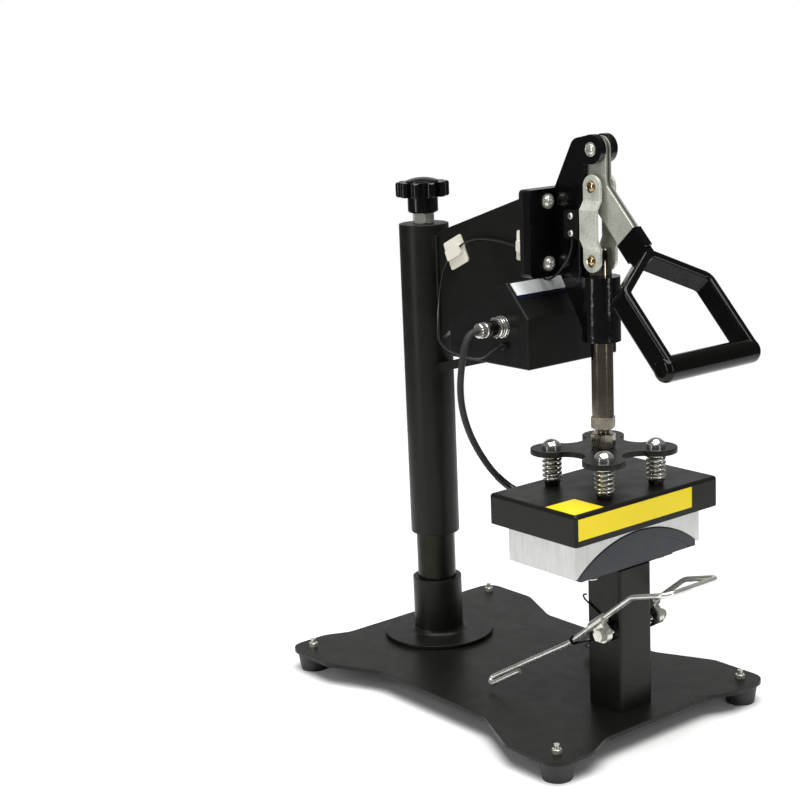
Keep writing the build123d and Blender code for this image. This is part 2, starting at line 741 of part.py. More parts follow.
with BuildPart() as arm_gusset:
    with BuildSketch(Plane.YZ):
        with BuildLine():
            Polyline(
                (END_PLATE_BACK, MOUNT_BOTTOM),
                (END_PLATE_BACK, ARM_TOP_AT_END),
                (COLUMN_Y - TUBE_R, ARM_TOP_AT_TUBE),
                (COLUMN_Y - POST_R, ARM_TOP_AT_TUBE),
                (COLUMN_Y - POST_R, ARM_LOW_AT_TUBE),
                (COLUMN_Y - TUBE_R, ARM_LOW_AT_TUBE),
            )
            ThreePointArc((COLUMN_Y - TUBE_R, ARM_LOW_AT_TUBE), ARM_LOW_MIDDLE, ARM_LOW_AT_END)
            Line(ARM_LOW_AT_END, (END_PLATE_BACK, MOUNT_BOTTOM))
        make_face()
    extrude(amount=ARM_THICK / 2, both=True)
    with BuildSketch(facing_front(0, END_PLATE_BACK, mount_middle)):
        RectangleRounded(MOUNT_WIDTH, MOUNT_TOP - MOUNT_BOTTOM, MOUNT_CORNER_R)
    extrude(amount=END_PLATE_THICK)
    with BuildSketch(Plane.XY.offset(TUBE_BOTTOM)):
        with Locations((0, COLUMN_Y)):
            Circle(TUBE_R)
    extrude(amount=TUBE_TOP - TUBE_BOTTOM, mode=Mode.SUBTRACT)
    with BuildSketch(facing_front(0, END_PLATE_BACK, 0)):
        with Locations(*MOUNT_POINTS):
            Circle(MOUNT_SCREW_R + THREAD_FIT)
    extrude(amount=END_PLATE_THICK, mode=Mode.SUBTRACT)
save(arm_gusset, "arm_gusset")

with BuildPart() as clamp_body:
    with BuildSketch(facing_front(0, END_PLATE_FRONT, mount_middle)):
        RectangleRounded(MOUNT_WIDTH, MOUNT_TOP - MOUNT_BOTTOM, MOUNT_CORNER_R)
    extrude(amount=CLAMP_FLANGE_THICK)
    with BuildSketch(Plane.YZ):
        with BuildLine():
            Polyline(
                (CLAMP_FRONT, MOUNT_BOTTOM),
                (CLAMP_FRONT, MOUNT_TOP),
                (PRESS_Y + CHEEK_SHOULDER[0], LEVER_PIVOT_Z + CHEEK_SHOULDER[1]),
                (PRESS_Y, LEVER_PIVOT_Z + EAR_R),
                (PRESS_Y, LEVER_PIVOT_Z),
                *[(PRESS_Y + y, LEVER_PIVOT_Z + z) for y, z in CHEEK_FRONT_EDGE],
                close=True,
            )
        make_face()
        with Locations((PRESS_Y, LEVER_PIVOT_Z)):
            Circle(EAR_R)
    extrude(amount=CHEEK_OUT, both=True)
    shoulder = Vector(0, PRESS_Y + CHEEK_SHOULDER[0], LEVER_PIVOT_Z + CHEEK_SHOULDER[1])
    across_edges = clamp_body.edges().filter_by(Axis.X)
    fillet([e for e in across_edges if (e.center() - shoulder).length < 0.01], SHOULDER_R)
    cheek_front = PRESS_Y + CHEEK_FRONT_EDGE[-1][0]
    upright = clamp_body.edges().filter_by(Axis.Z)
    fillet(upright.filter_by_position(Axis.Y, cheek_front - 0.5, cheek_front + 0.5), CHEEK_ROUND)
    with BuildSketch(Plane.YZ):
        with BuildLine():
            Polyline(
                (CLAMP_FRONT, MOUNT_BOTTOM),
                (CLAMP_FRONT, SLEEVE_TOP + RIB_DROP),
                (PRESS_Y, SLEEVE_TOP),
                (PRESS_Y, SLEEVE_BOTTOM + 1),
                (PRESS_Y + SLEEVE_R - 3, SLEEVE_BOTTOM + 1),
                close=True,
            )
        make_face()
    extrude(amount=RIB_THICK / 2, both=True)
    with BuildSketch(Plane.YZ):
        with BuildLine():
            Polyline(
                (CLAMP_SLOT_BACK - RIB_DROP, SLEEVE_TOP),
                (CLAMP_SLOT_BACK, SLEEVE_TOP + RIB_DROP),
                (CLAMP_SLOT_BACK, LEVER_PIVOT_Z + 2 * EAR_R),
                (PRESS_Y - 2 * EAR_R, LEVER_PIVOT_Z + 2 * EAR_R),
                (PRESS_Y - 2 * EAR_R, SLEEVE_TOP),
                close=True,
            )
        make_face()
    extrude(amount=CHEEK_GAP / 2, both=True, mode=Mode.SUBTRACT)
    with BuildSketch(Plane.XY.offset(SLEEVE_BOTTOM)):
        with Locations((0, PRESS_Y)):
            Circle(SLEEVE_R)
    extrude(amount=SLEEVE_TOP - SLEEVE_BOTTOM)
    with BuildSketch(Plane.XY.offset(SLEEVE_BOTTOM)):
        with Locations((0, PRESS_Y)):
            Circle(PLUNGER_R + SLIDE_FIT)
    extrude(amount=SLEEVE_TOP - SLEEVE_BOTTOM, mode=Mode.SUBTRACT)
    with BuildSketch(Plane.XY.offset(SLEEVE_TOP)):
        with Locations((0, PRESS_Y)):
            Circle(PLUNGER_R + 2 * SLIDE_FIT)
    extrude(amount=LEVER_PIVOT_Z - 2 * EAR_R - SLEEVE_TOP, mode=Mode.SUBTRACT)
    with BuildSketch(facing_front(0, END_PLATE_FRONT, 0)):
        with Locations(*MOUNT_POINTS):
            Circle(MOUNT_SCREW_R + SCREW_CLEARANCE)
    extrude(amount=CLAMP_FLANGE_THICK, mode=Mode.SUBTRACT)
    with BuildSketch(across(-CHEEK_OUT, PRESS_Y, LEVER_PIVOT_Z)):
        Circle(PIVOT_PIN_R)
    extrude(amount=2 * CHEEK_OUT, mode=Mode.SUBTRACT)
    with BuildSketch(across(-CHEEK_OUT, SWITCH_Y, SWITCH_BOTTOM + SWITCH_HEIGHT / 2)):
        with GridLocations(1, SWITCH_SCREW_PITCH, 1, 2):
            Circle(SWITCH_SCREW_R)
    extrude(amount=CHEEK_THICK, mode=Mode.SUBTRACT)
save(clamp_body, "clamp_body")

screw_head = domed_head(MOUNT_HEAD_R, MOUNT_HEAD_HEIGHT, MOUNT_HEAD_HEIGHT / 4)

with BuildPart() as clamp_screws:
    for x, z in MOUNT_POINTS:
        with Locations(facing_front(x, CLAMP_FRONT - MOUNT_WASHER_THICK, z)):
            add(screw_head)
    with BuildSketch(facing_front(0, CLAMP_FRONT - MOUNT_WASHER_THICK - MOUNT_HEAD_HEIGHT, 0)):
        with Locations(*MOUNT_POINTS):
            RegularPolygon(radius=MOUNT_KEY_FLATS / 2, side_count=6, major_radius=False)
    extrude(amount=-MOUNT_KEY_DEPTH, mode=Mode.SUBTRACT)
    with BuildSketch(facing_front(0, END_PLATE_BACK, 0)):
        with Locations(*MOUNT_POINTS):
            Circle(MOUNT_SCREW_R)
    extrude(amount=END_PLATE_THICK + CLAMP_FLANGE_THICK + MOUNT_WASHER_THICK)
save(clamp_screws, "clamp_screws")

with BuildPart() as clamp_washers:
    with BuildSketch(facing_front(0, CLAMP_FRONT, 0)):
        with Locations(*MOUNT_POINTS):
            Circle(MOUNT_WASHER_R)
        with Locations(*MOUNT_POINTS):
            Circle(MOUNT_SCREW_R + SCREW_CLEARANCE, mode=Mode.SUBTRACT)
    extrude(amount=MOUNT_WASHER_THICK)
save(clamp_washers, "clamp_washers")

with BuildPart() as lever_pin:
    with BuildSketch(across(-CHEEK_OUT, PRESS_Y, LEVER_PIVOT_Z)):
        Circle(PIVOT_PIN_R)
    extrude(amount=2 * CHEEK_OUT)
    for x, way in ((CHEEK_OUT, 1), (-CHEEK_OUT, -1)):
        with BuildSketch(across(x, PRESS_Y, LEVER_PIVOT_Z)):
            Circle(PIVOT_HEAD_R)
        extrude(amount=way * PIN_HEAD)
save(lever_pin, "lever_pin")

# ================================================================ micro switch and lead clips
with BuildPart() as micro_switch:
    with BuildSketch(across(-CHEEK_OUT, SWITCH_Y, SWITCH_BOTTOM + SWITCH_HEIGHT / 2)):
        RectangleRounded(SWITCH_DEPTH, SWITCH_HEIGHT, SWITCH_ROUND)
        with GridLocations(1, SWITCH_SCREW_PITCH, 1, 2):
            Circle(SWITCH_SCREW_R, mode=Mode.SUBTRACT)
    extrude(amount=-SWITCH_THICK)
save(micro_switch, "micro_switch")

# The small screws that hold the micro switch, and the two that hold the control box
with BuildPart() as small_screws:
    with BuildSketch(across(-CHEEK_OUT - SWITCH_THICK, SWITCH_Y, SWITCH_BOTTOM + SWITCH_HEIGHT / 2)):
        with GridLocations(1, SWITCH_SCREW_PITCH, 1, 2):
            Circle(SWITCH_SCREW_R)
    extrude(amount=SWITCH_THICK + CHEEK_THICK)
    with BuildSketch(across(-CHEEK_OUT - SWITCH_THICK, SWITCH_Y, SWITCH_BOTTOM + SWITCH_HEIGHT / 2)):
        with GridLocations(1, SWITCH_SCREW_PITCH, 1, 2):
            Circle(SWITCH_SCREW_HEAD_R)
    extrude(amount=-SWITCH_SCREW_HEAD)
    for y in BOX_SCREWS_Y:
        with Locations((0, y, BOX_BOTTOM - BRACKET_PAD)):
            Cylinder(BOX_SCREW_HEAD_R, BOX_SCREW_HEAD, align=MAX_Z)
            Cylinder(BOX_SCREW_R, BOX_SCREW_LENGTH, align=MIN_Z)
save(small_screws, "small_screws")

lead_radii = cord_radii(LEAD_ROUTE)
lead_channel = round_bar(LEAD_ROUTE, lead_radii, LEAD_R + SOFT_GAP)

with BuildPart() as lead_clips:
    for clip_y, clip_z, clip_turn in CLIP_SPOTS:
        clip_plane = Plane(origin=(-ARM_THICK / 2, clip_y, clip_z), x_dir=(0, 1, 0), z_dir=(-1, 0, 0))
        with BuildSketch(clip_plane):
            RectangleRounded(CLIP_SIDE, CLIP_SIDE, CLIP_ROUND, rotation=-clip_turn)
        extrude(amount=CLIP_THICK)
        with BuildSketch(clip_plane):
            RectangleRounded(CLIP_BRIDGE_LENGTH, CLIP_BRIDGE_WIDTH, CLIP_THICK, rotation=-clip_turn)
        extrude(amount=CLIP_BRIDGE)
    add(lead_channel, mode=Mode.SUBTRACT)
save(lead_clips, "lead_clips")

with BuildPart() as switch_lead:
    add(round_bar(LEAD_ROUTE, lead_radii, LEAD_R))
save(switch_lead, "switch_lead")
print_cord("switch_lead", LEAD_ROUTE, LEAD_R, switch_lead.part)

# ================================================================ lever and grip
def loop_ring(inset, thick, ends, width, bend_r):
    """A five-sided band in the grip's plane, its bottom between the two ends given."""
    slope = hypot(GRIP_HALF, GRIP_SHOULDER)
    outer_apex = inset * slope / GRIP_HALF
    inner_apex = (inset + thick) * slope / GRIP_HALF
    rise = GRIP_SHOULDER / GRIP_HALF
    rings = []
    for x, apex, bottom in (
        (GRIP_HALF - inset, outer_apex, ends[0]),
        (GRIP_HALF - inset - thick, inner_apex, ends[1]),
    ):
        shoulder = apex + rise * x
        rings.append([(0, -apex), (x, -shoulder), (x, -bottom), (-x, -bottom), (-x, -shoulder)])
    with BuildPart() as ring:
        with BuildSketch(GRIP_PLANE) as outside:
            with BuildLine():
                Polyline(*rings[0], close=True)
            make_face()
            fillet(outside.vertices().sort_by(Axis.Y)[2:], bend_r - inset)
        extrude(amount=width / 2, both=True)
        with BuildSketch(GRIP_PLANE) as inside:
            with BuildLine():
                Polyline(*rings[1], close=True)
            make_face()
            fillet(inside.vertices().sort_by(Axis.Y)[2:], max(bend_r - inset - thick, INNER_BEND_R))
        extrude(amount=width / 2, both=True, mode=Mode.SUBTRACT)
    return ring.part


def arm_outline(start, length, width):
    """Corners, in the plane X = 0, of a straight stretch of the lever's arm towards the grip."""
    down = (-sin(GRIP_TURN), -cos(GRIP_TURN))
    side = (-cos(GRIP_TURN), sin(GRIP_TURN))
    return [
        (start[0] + down[0] * along + side[0] * out, start[1] + down[1] * along + side[1] * out)
        for along, out in ((0, width / 2), (length, width / 2), (length, -width / 2), (0, -width / 2))
    ]


apex = (GRIP_APEX_Y, GRIP_APEX_Z)
link_pivot = (PRESS_Y, LINK_PIVOT_Z)
arm_run = hypot(apex[0] - link_pivot[0], apex[1] - link_pivot[1])

with BuildPart() as lever:
    with BuildSketch(Plane.YZ):
        with Locations((PRESS_Y, LEVER_PIVOT_Z)):
            Circle(LEVER_END_R)
        with Locations((PRESS_Y, (LEVER_PIVOT_Z + LINK_PIVOT_Z) / 2)):
            Rectangle(2 * LEVER_END_R, LINK_ARM)
        with Locations(link_pivot):
            Circle(LEVER_ARM_WIDTH / 2)
        with BuildLine():
            Polyline(*arm_outline(apex, -arm_run, LEVER_ARM_WIDTH), close=True)
        make_face()
        with BuildLine():
            Polyline(*arm_outline(apex, LOOP_COAT + LOOP_STRAP, LOOP_STRAP_WIDTH), close=True)
        make_face()
    extrude(amount=LEVER_THICK / 2, both=True)
    strap_ends = (GRIP_BAR_AT + LOOP_STRAP / 2, GRIP_BAR_AT - LOOP_STRAP / 2)
    add(loop_ring(LOOP_COAT, LOOP_STRAP, strap_ends, LOOP_STRAP_WIDTH, GRIP_BEND_R))
    with BuildSketch(across(-LEVER_THICK, PRESS_Y, 0)):
        with Locations((0, LEVER_PIVOT_Z)):
            Circle(PIVOT_PIN_R + PIN_FIT)
        with Locations((0, LINK_PIVOT_Z)):
            Circle(LINK_PIN_R)
    extrude(amount=2 * LEVER_THICK, mode=Mode.SUBTRACT)
save(lever, "lever")

with BuildPart() as handle_grip:
    add(loop_ring(0, GRIP_SIDE, (GRIP_BAR_AT, GRIP_LENGTH), GRIP_WIDTH, GRIP_BEND_R))
    heights = [(e, abs(GRIP_PLANE.to_local_coords(e.center()).Z)) for e in handle_grip.edges()]
    fillet([e for e, height in heights if abs(height - GRIP_WIDTH / 2) < 0.01], GRIP_ROUND)
    bar_plane = Plane(
        origin=GRIP_PLANE.from_local_coords((0, -GRIP_BAR_AT, 0)),
        x_dir=(0, 1, 0),
        z_dir=(1, 0, 0),
    )
    with BuildPart(mode=Mode.ADD) as grip_bar:
        with BuildSketch(bar_plane):
            Circle(GRIP_BAR_R)
        extrude(amount=GRIP_HALF + GRIP_BAR_SWELL, both=True)
        fillet(grip_bar.edges().filter_by(GeomType.CIRCLE), GRIP_BAR_ROUND)
    with BuildSketch(Plane.YZ) as neck_outline:
        with BuildLine():
            Polyline(*arm_outline(apex, -NECK_LENGTH, LEVER_ARM_WIDTH + 2 * NECK_COAT), close=True)
        make_face()
        with BuildLine():
            Polyline(*arm_outline(apex, GRIP_SIDE, GRIP_WIDTH), close=True)
        make_face()
    extrude(amount=LEVER_THICK / 2 + NECK_COAT, both=True)
    add(lever.part, mode=Mode.SUBTRACT)
save(handle_grip, "handle_grip")

with BuildPart() as link_pin:
    with BuildSketch(across(-LINK_TOP_X - LINK_THICK, PRESS_Y, LINK_PIVOT_Z)):
        Circle(LINK_PIN_R)
    extrude(amount=2 * (LINK_TOP_X + LINK_THICK))
    for x, way in ((LINK_TOP_X + LINK_THICK, 1), (-LINK_TOP_X - LINK_THICK, -1)):
        with BuildSketch(across(x + way * PIN_FIT, PRESS_Y, LINK_PIVOT_Z)):
            Circle(LINK_HEAD_R)
        extrude(amount=way * PIN_HEAD)
        with BuildSketch(across(x, PRESS_Y, LINK_PIVOT_Z)):
            Circle(LINK_PIN_R)
        extrude(amount=way * 2 * PIN_FIT)
save(link_pin, "link_pin")

# ================================================================ links and plunger
with BuildPart() as links:
    low_z = PLUNGER_PIVOT_Z - LINK_WIDTH
    high_z = LINK_PIVOT_Z + LINK_WIDTH
    for way in (1, -1):
        inner = [
            (LINK_LOW_X, low_z),
            (LINK_LOW_X, LINK_BULGE_BOTTOM - LINK_JOGGLE),
            (LINK_MIDDLE_X, LINK_BULGE_BOTTOM),
            (LINK_MIDDLE_X, LINK_BULGE_TOP),
            (LINK_TOP_X, LINK_BULGE_TOP + LINK_JOGGLE),
            (LINK_TOP_X, high_z),
        ]
        outer = [(x + LINK_THICK, z) for x, z in reversed(inner)]
        with BuildSketch(facing_front(0, PRESS_Y, 0)):
            with BuildLine():
                Polyline(*[(way * x, z) for x, z in inner + outer], close=True)
            make_face()
        extrude(amount=LINK_WIDTH / 2, both=True)
    with BuildSketch(across(-2 * LINK_MIDDLE_X, PRESS_Y, (LINK_PIVOT_Z + PLUNGER_PIVOT_Z) / 2)):
        SlotCenterToCenter(LINK_LENGTH, LINK_WIDTH, rotation=90)
    extrude(amount=4 * LINK_MIDDLE_X, mode=Mode.INTERSECT)
    with BuildSketch(across(-2 * LINK_MIDDLE_X, PRESS_Y, 0)):
        with Locations((0, LINK_PIVOT_Z)):
            Circle(LINK_PIN_R + PIN_FIT)
        with Locations((0, PLUNGER_PIVOT_Z)):
            Circle(LINK_PIN_R)
    extrude(amount=4 * LINK_MIDDLE_X, mode=Mode.SUBTRACT)
save(links, "links")

with BuildPart() as link_rivets:
    for x, way in ((LINK_LOW_X, 1), (-LINK_LOW_X, -1)):
        with BuildSketch(across(x, PRESS_Y, PLUNGER_PIVOT_Z)):
            Circle(LINK_PIN_R)
        extrude(amount=way * LINK_THICK)
        with BuildSketch(across(x + way * LINK_THICK, PRESS_Y, PLUNGER_PIVOT_Z)):
            Circle(RIVET_HEAD_R)
        extrude(amount=way * PIN_HEAD)
save(link_rivets, "link_rivets")

with BuildPart() as plunger:
    with BuildSketch(Plane.XY.offset(PLUNGER_BOTTOM)):
        with Locations((0, PRESS_Y)):
            Circle(PLUNGER_R)
    extrude(amount=PLUNGER_TOP - PLUNGER_BOTTOM)
    chamfer(plunger.faces().sort_by(Axis.Z)[-1].edges(), PLUNGER_BEVEL)
    with BuildSketch(Plane.XY.offset(PLUNGER_FLATS_BOTTOM)):
        with Locations((PLUNGER_FLATS / 2 + PLUNGER_R, PRESS_Y), (-PLUNGER_FLATS / 2 - PLUNGER_R, PRESS_Y)):
            Rectangle(2 * PLUNGER_R, 4 * PLUNGER_R)
    extrude(amount=PLUNGER_TOP - PLUNGER_FLATS_BOTTOM, mode=Mode.SUBTRACT)
    with BuildSketch(across(-PLUNGER_R, PRESS_Y, PLUNGER_PIVOT_Z)):
        Circle(LINK_PIN_R)
    extrude(amount=2 * PLUNGER_R, mode=Mode.SUBTRACT)
    with BuildSketch(Plane.XY.offset(PLUNGER_BOTTOM)):
        with Locations((0, PRESS_Y)):
            Circle(STUD_R)
    extrude(amount=STUD_BOTTOM + STUD_LENGTH - PLUNGER_BOTTOM, mode=Mode.SUBTRACT)
save(plunger, "plunger")

with BuildPart() as plunger_pin:
    with BuildSketch(across(-PLUNGER_FLATS / 2, PRESS_Y, PLUNGER_PIVOT_Z)):
        Circle(LINK_PIN_R)
    extrude(amount=PLUNGER_FLATS)
save(plunger_pin, "plunger_pin")

with BuildPart() as head_stud:
    with Locations((0, PRESS_Y, STUD_BOTTOM)):
        Cylinder(STUD_R, STUD_LENGTH, align=MIN_Z)
    with Locations((0, PRESS_Y, PLUNGER_BOTTOM - STUD_NUT_UPPER)):
        add(hex_nut(STUD_NUT_FLATS, STUD_NUT_UPPER, STUD_R + THREAD_FIT))
    with Locations((0, PRESS_Y, SPIDER_TOP)):
        add(hex_nut(STUD_NUT_FLATS, STUD_NUT_LOWER, STUD_R + THREAD_FIT))
save(head_stud, "head_stud")

# ================================================================ spider, guide bolts and springs
lobe_out = GUIDE_PITCH / sqrt(2)
arm_far = (lobe_out + SPIDER_LOBE_R) / sqrt(2)
arm_near = (lobe_out - SPIDER_LOBE_R) / sqrt(2)
scoop_middle = (arm_far**2 + arm_near**2 - SPIDER_HUB_R**2) / (2 * (arm_far - SPIDER_HUB_R))
scoop_r = scoop_middle - SPIDER_HUB_R

with BuildPart() as spider:
    with BuildSketch(Plane.XY.offset(SPIDER_BOTTOM)):
        with Locations((0, PRESS_Y)):
            Rectangle(2 * arm_far, 2 * arm_far)
            Rectangle(2 * lobe_out, 2 * lobe_out, rotation=45, mode=Mode.INTERSECT)
            with PolarLocations(scoop_middle, 4):
                Circle(scoop_r, mode=Mode.SUBTRACT)
        with Locations(GUIDES):
            Circle(SPIDER_LOBE_R)
        with Locations((0, PRESS_Y)):
            Circle(STUD_R, mode=Mode.SUBTRACT)
        with Locations(GUIDES):
            Circle(GUIDE_R + SCREW_CLEARANCE, mode=Mode.SUBTRACT)
    extrude(amount=SPIDER_THICK)
save(spider, "spider")

with BuildPart() as guide_bolts:
    with Locations(Location((0, 0, BLOCK_TOP - GUIDE_DEPTH))):
        with Locations(GUIDES):
            Cylinder(GUIDE_R, SPIDER_TOP - BLOCK_TOP + GUIDE_DEPTH, align=MIN_Z)
    with Locations(Location((0, 0, SPIDER_TOP))):
        with Locations(GUIDES):
            add(domed_head(GUIDE_HEAD_R, GUIDE_HEAD_HEIGHT, GUIDE_HEAD_HEIGHT / 3))
save(guide_bolts, "guide_bolts")

with BuildPart() as guide_nuts:
    with Locations(Location((0, 0, COVER_TOP))):
        with Locations(GUIDES):
            add(hex_nut(GUIDE_NUT_FLATS, GUIDE_NUT_HEIGHT, GUIDE_R + THREAD_FIT))
save(guide_nuts, "guide_nuts")

spring_height = SPIDER_BOTTOM - GUIDE_NUT_TOP - 2 * SPRING_WIRE_R
with BuildPart() as one_spring:
    with BuildLine() as coil:
        Helix(spring_height / SPRING_TURNS, spring_height, SPRING_R - SPRING_WIRE_R)
    with BuildSketch(Plane(origin=coil.line @ 0, z_dir=coil.line % 0)):
        Circle(SPRING_WIRE_R)
    sweep(is_frenet=True)
with BuildPart() as head_springs:
    with Locations(Location((0, 0, GUIDE_NUT_TOP + SPRING_WIRE_R))):
        with Locations(GUIDES):
            add(one_spring.part)
save(head_springs, "head_springs")

# ================================================================ heater
with BuildPart() as heater_cover:
    with BuildSketch(Plane.XY.offset(COVER_BOTTOM)):
        with Locations((0, PRESS_Y)):
            Rectangle(COVER_WIDTH, COVER_DEPTH)
    extrude(amount=COVER_HEIGHT)
    fillet(heater_cover.edges().filter_by(Axis.Z), COVER_ROUND)
    fillet(heater_cover.faces().sort_by(Axis.Z)[-1].edges(), COVER_ROUND)
    with BuildSketch(Plane.XY.offset(COVER_BOTTOM)):
        with Locations((0, PRESS_Y)):
            inside_width = COVER_WIDTH - 2 * COVER_WALL
            inside_depth = COVER_DEPTH - 2 * COVER_WALL
            RectangleRounded(inside_width, inside_depth, COVER_ROUND - COVER_WALL)
    extrude(amount=COVER_HEIGHT - COVER_WALL, mode=Mode.SUBTRACT)
    with BuildSketch(Plane.XY.offset(COVER_CEILING)):
        with Locations(GUIDES):
            Circle(GUIDE_R + SCREW_CLEARANCE)
    extrude(amount=COVER_WALL, mode=Mode.SUBTRACT)
    with BuildSketch(facing_front(GLAND_X, COVER_BACK, GLAND_Z)):
        Circle(CABLE_R)
    extrude(amount=COVER_WALL, mode=Mode.SUBTRACT)
save(heater_cover, "heater_cover")

with BuildPart() as insulation_board:
    with BuildSketch(Plane.XY.offset(BLOCK_TOP)):
        with Locations((0, PRESS_Y)):
            Rectangle(BLOCK_WIDTH - 2 * BOARD_INSET, BLOCK_DEPTH - 2 * BOARD_INSET)
        with Locations(GUIDES):
            Circle(GUIDE_R + SCREW_CLEARANCE, mode=Mode.SUBTRACT)
    extrude(amount=COVER_CEILING - BLOCK_TOP)
save(insulation_board, "insulation_board")

with BuildPart() as heating_block:
    with BuildSketch(Plane.XY.offset(BLOCK_BOTTOM)):
        with Locations((0, PRESS_Y)):
            Rectangle(BLOCK_WIDTH, BLOCK_DEPTH)
    extrude(amount=BLOCK_TOP - BLOCK_BOTTOM)
    fillet(heating_block.edges().filter_by(Axis.Z), BLOCK_ROUND)
    with BuildSketch(facing_front(0, PRESS_Y, ARCH_CENTRE_Z)):
        Circle(ARCH_R + SOFT_GAP)
    extrude(amount=BLOCK_DEPTH, both=True, mode=Mode.SUBTRACT)
    with BuildSketch(across(-ELEMENT_LENGTH / 2, PRESS_Y, ELEMENT_Z)):
        with GridLocations(ELEMENT_SPACING, 1, 2, 1):
            Circle(ELEMENT_R)
    extrude(amount=ELEMENT_LENGTH / 2 + BLOCK_WIDTH / 2, mode=Mode.SUBTRACT)
    with BuildSketch(facing_front(0, PRESS_Y + BLOCK_DEPTH / 2, ELEMENT_Z)):
        Circle(PROBE_R)
    extrude(amount=PROBE_LENGTH / 2, mode=Mode.SUBTRACT)
    with BuildSketch(Plane.XY.offset(BLOCK_TOP - GUIDE_DEPTH)):
        with Locations(GUIDES):
            Circle(GUIDE_R + THREAD_FIT)
    extrude(amount=GUIDE_DEPTH, mode=Mode.SUBTRACT)
save(heating_block, "heating_block")

with BuildPart() as heating_elements:
    with BuildSketch(across(-ELEMENT_LENGTH / 2, PRESS_Y, ELEMENT_Z)):
        with GridLocations(ELEMENT_SPACING, 1, 2, 1):
            Circle(ELEMENT_R)
    extrude(amount=ELEMENT_LENGTH)
save(heating_elements, "heating_elements")

with BuildPart() as temperature_probe:
    with BuildSketch(facing_front(0, PRESS_Y + BLOCK_DEPTH / 2 - PROBE_LENGTH / 2, ELEMENT_Z)):
        Circle(PROBE_R)
    extrude(amount=-PROBE_LENGTH / 2 - PROBE_TAIL)
save(temperature_probe, "temperature_probe")

with BuildPart() as cable_gland:
    with BuildSketch(facing_front(GLAND_X, COVER_BACK, GLAND_Z)):
        Circle(GLAND_R)
    extrude(amount=-GLAND_LENGTH)
    chamfer(cable_gland.faces().sort_by(Axis.Y)[-1].edges(), GLAND_BEVEL)
save(cable_gland, "cable_gland")

cable_radii = cord_radii(CABLE_ROUTE)
with BuildPart() as heater_cable:
    add(round_bar(CABLE_ROUTE, cable_radii, CABLE_R))
save(heater_cable, "heater_cable")
print_cord("heater_cable", CABLE_ROUTE, CABLE_R, heater_cable.part)

# ================================================================ lower form
with BuildPart() as press_post:
    with BuildSketch(Plane.XY.offset(PLATE_TOP)):
        with Locations((0, PRESS_POST_Y)):
            RectangleRounded(PRESS_POST_SIDE, PRESS_POST_SIDE, PRESS_POST_CORNER_R)
            inner_side = PRESS_POST_SIDE - 2 * PRESS_POST_WALL
            inner_corner = PRESS_POST_CORNER_R - PRESS_POST_WALL
            RectangleRounded(inner_side, inner_side, inner_corner, mode=Mode.SUBTRACT)
    extrude(amount=FORM_PLATE_BOTTOM - PLATE_TOP)
    with BuildSketch(across(-PRESS_POST_SIDE, BAIL_PIVOT_Y, BAIL_PIVOT_Z)):
        Circle(BAIL_BOLT_R)
    extrude(amount=2 * PRESS_POST_SIDE, mode=Mode.SUBTRACT)
save(press_post, "press_post")

with BuildPart() as form_plate:
    with BuildSketch(Plane.XY.offset(FORM_PLATE_BOTTOM)):
        with Locations((0, PRESS_Y)):
            RectangleRounded(FORM_PLATE_WIDTH, FORM_PLATE_DEPTH, FORM_PLATE_CORNER_R)
            with GridLocations(FORM_SCREWS_X, FORM_SCREWS_Y, 2, 2):
                Circle(FORM_SCREW_R + SCREW_CLEARANCE, mode=Mode.SUBTRACT)
    extrude(amount=FORM_PLATE_THICK)
save(form_plate, "form_plate")

with BuildPart() as cap_form:
    with BuildSketch(facing_front(0, PRESS_Y, ARCH_CENTRE_Z)):
        Circle(ARCH_R - PAD_THICK)
        with Locations((0, FORM_BOTTOM - ARCH_CENTRE_Z)):
            Rectangle(2 * ARCH_R, ARCH_R, align=(Align.CENTER, Align.MIN), mode=Mode.INTERSECT)
    extrude(amount=FORM_DEPTH / 2, both=True)
    with BuildSketch(Plane.XY.offset(FORM_BOTTOM)):
        with Locations((0, PRESS_Y)):
            with GridLocations(FORM_SCREWS_X, FORM_SCREWS_Y, 2, 2):
                Circle(FORM_SCREW_R + THREAD_FIT)
    extrude(amount=FORM_SCREW_DEPTH, mode=Mode.SUBTRACT)
save(cap_form, "cap_form")

with BuildPart() as form_pad:
    with BuildSketch(facing_front(0, PRESS_Y, ARCH_CENTRE_Z)):
        Circle(ARCH_R)
        Circle(ARCH_R - PAD_THICK, mode=Mode.SUBTRACT)
        with Locations((0, FORM_BOTTOM - ARCH_CENTRE_Z)):
            Rectangle(PAD_WIDTH, ARCH_R, align=(Align.CENTER, Align.MIN), mode=Mode.INTERSECT)
    extrude(amount=PAD_DEPTH / 2, both=True)
save(form_pad, "form_pad")

with BuildPart() as form_screws:
    with BuildSketch(Plane.XY.offset(FORM_PLATE_BOTTOM)):
        with Locations((0, PRESS_Y)):
            with GridLocations(FORM_SCREWS_X, FORM_SCREWS_Y, 2, 2):
                Circle(FORM_SCREW_R)
    extrude(amount=FORM_PLATE_THICK + FORM_SCREW_DEPTH)
    with BuildSketch(Plane.XY.offset(FORM_PLATE_BOTTOM)):
        with Locations((0, PRESS_Y)):
            with GridLocations(FORM_SCREWS_X, FORM_SCREWS_Y, 2, 2):
                Circle(FORM_HEAD_R)
    extrude(amount=-FORM_HEAD_HEIGHT)
save(form_screws, "form_screws")

# ================================================================ tension bail
bail_half = [BAIL_FRONT, BAIL_BEND, BAIL_KNEE] + BAIL_HOOK
bail_route = list(reversed(bail_half)) + [(-x, y, z) for x, y, z in bail_half]
bail_bends = BAIL_RADII + list(reversed(BAIL_RADII))

with BuildPart() as tension_bail:
    add(round_bar(bail_route, bail_bends, BAIL_WIRE_R))
save(tension_bail, "tension_bail")

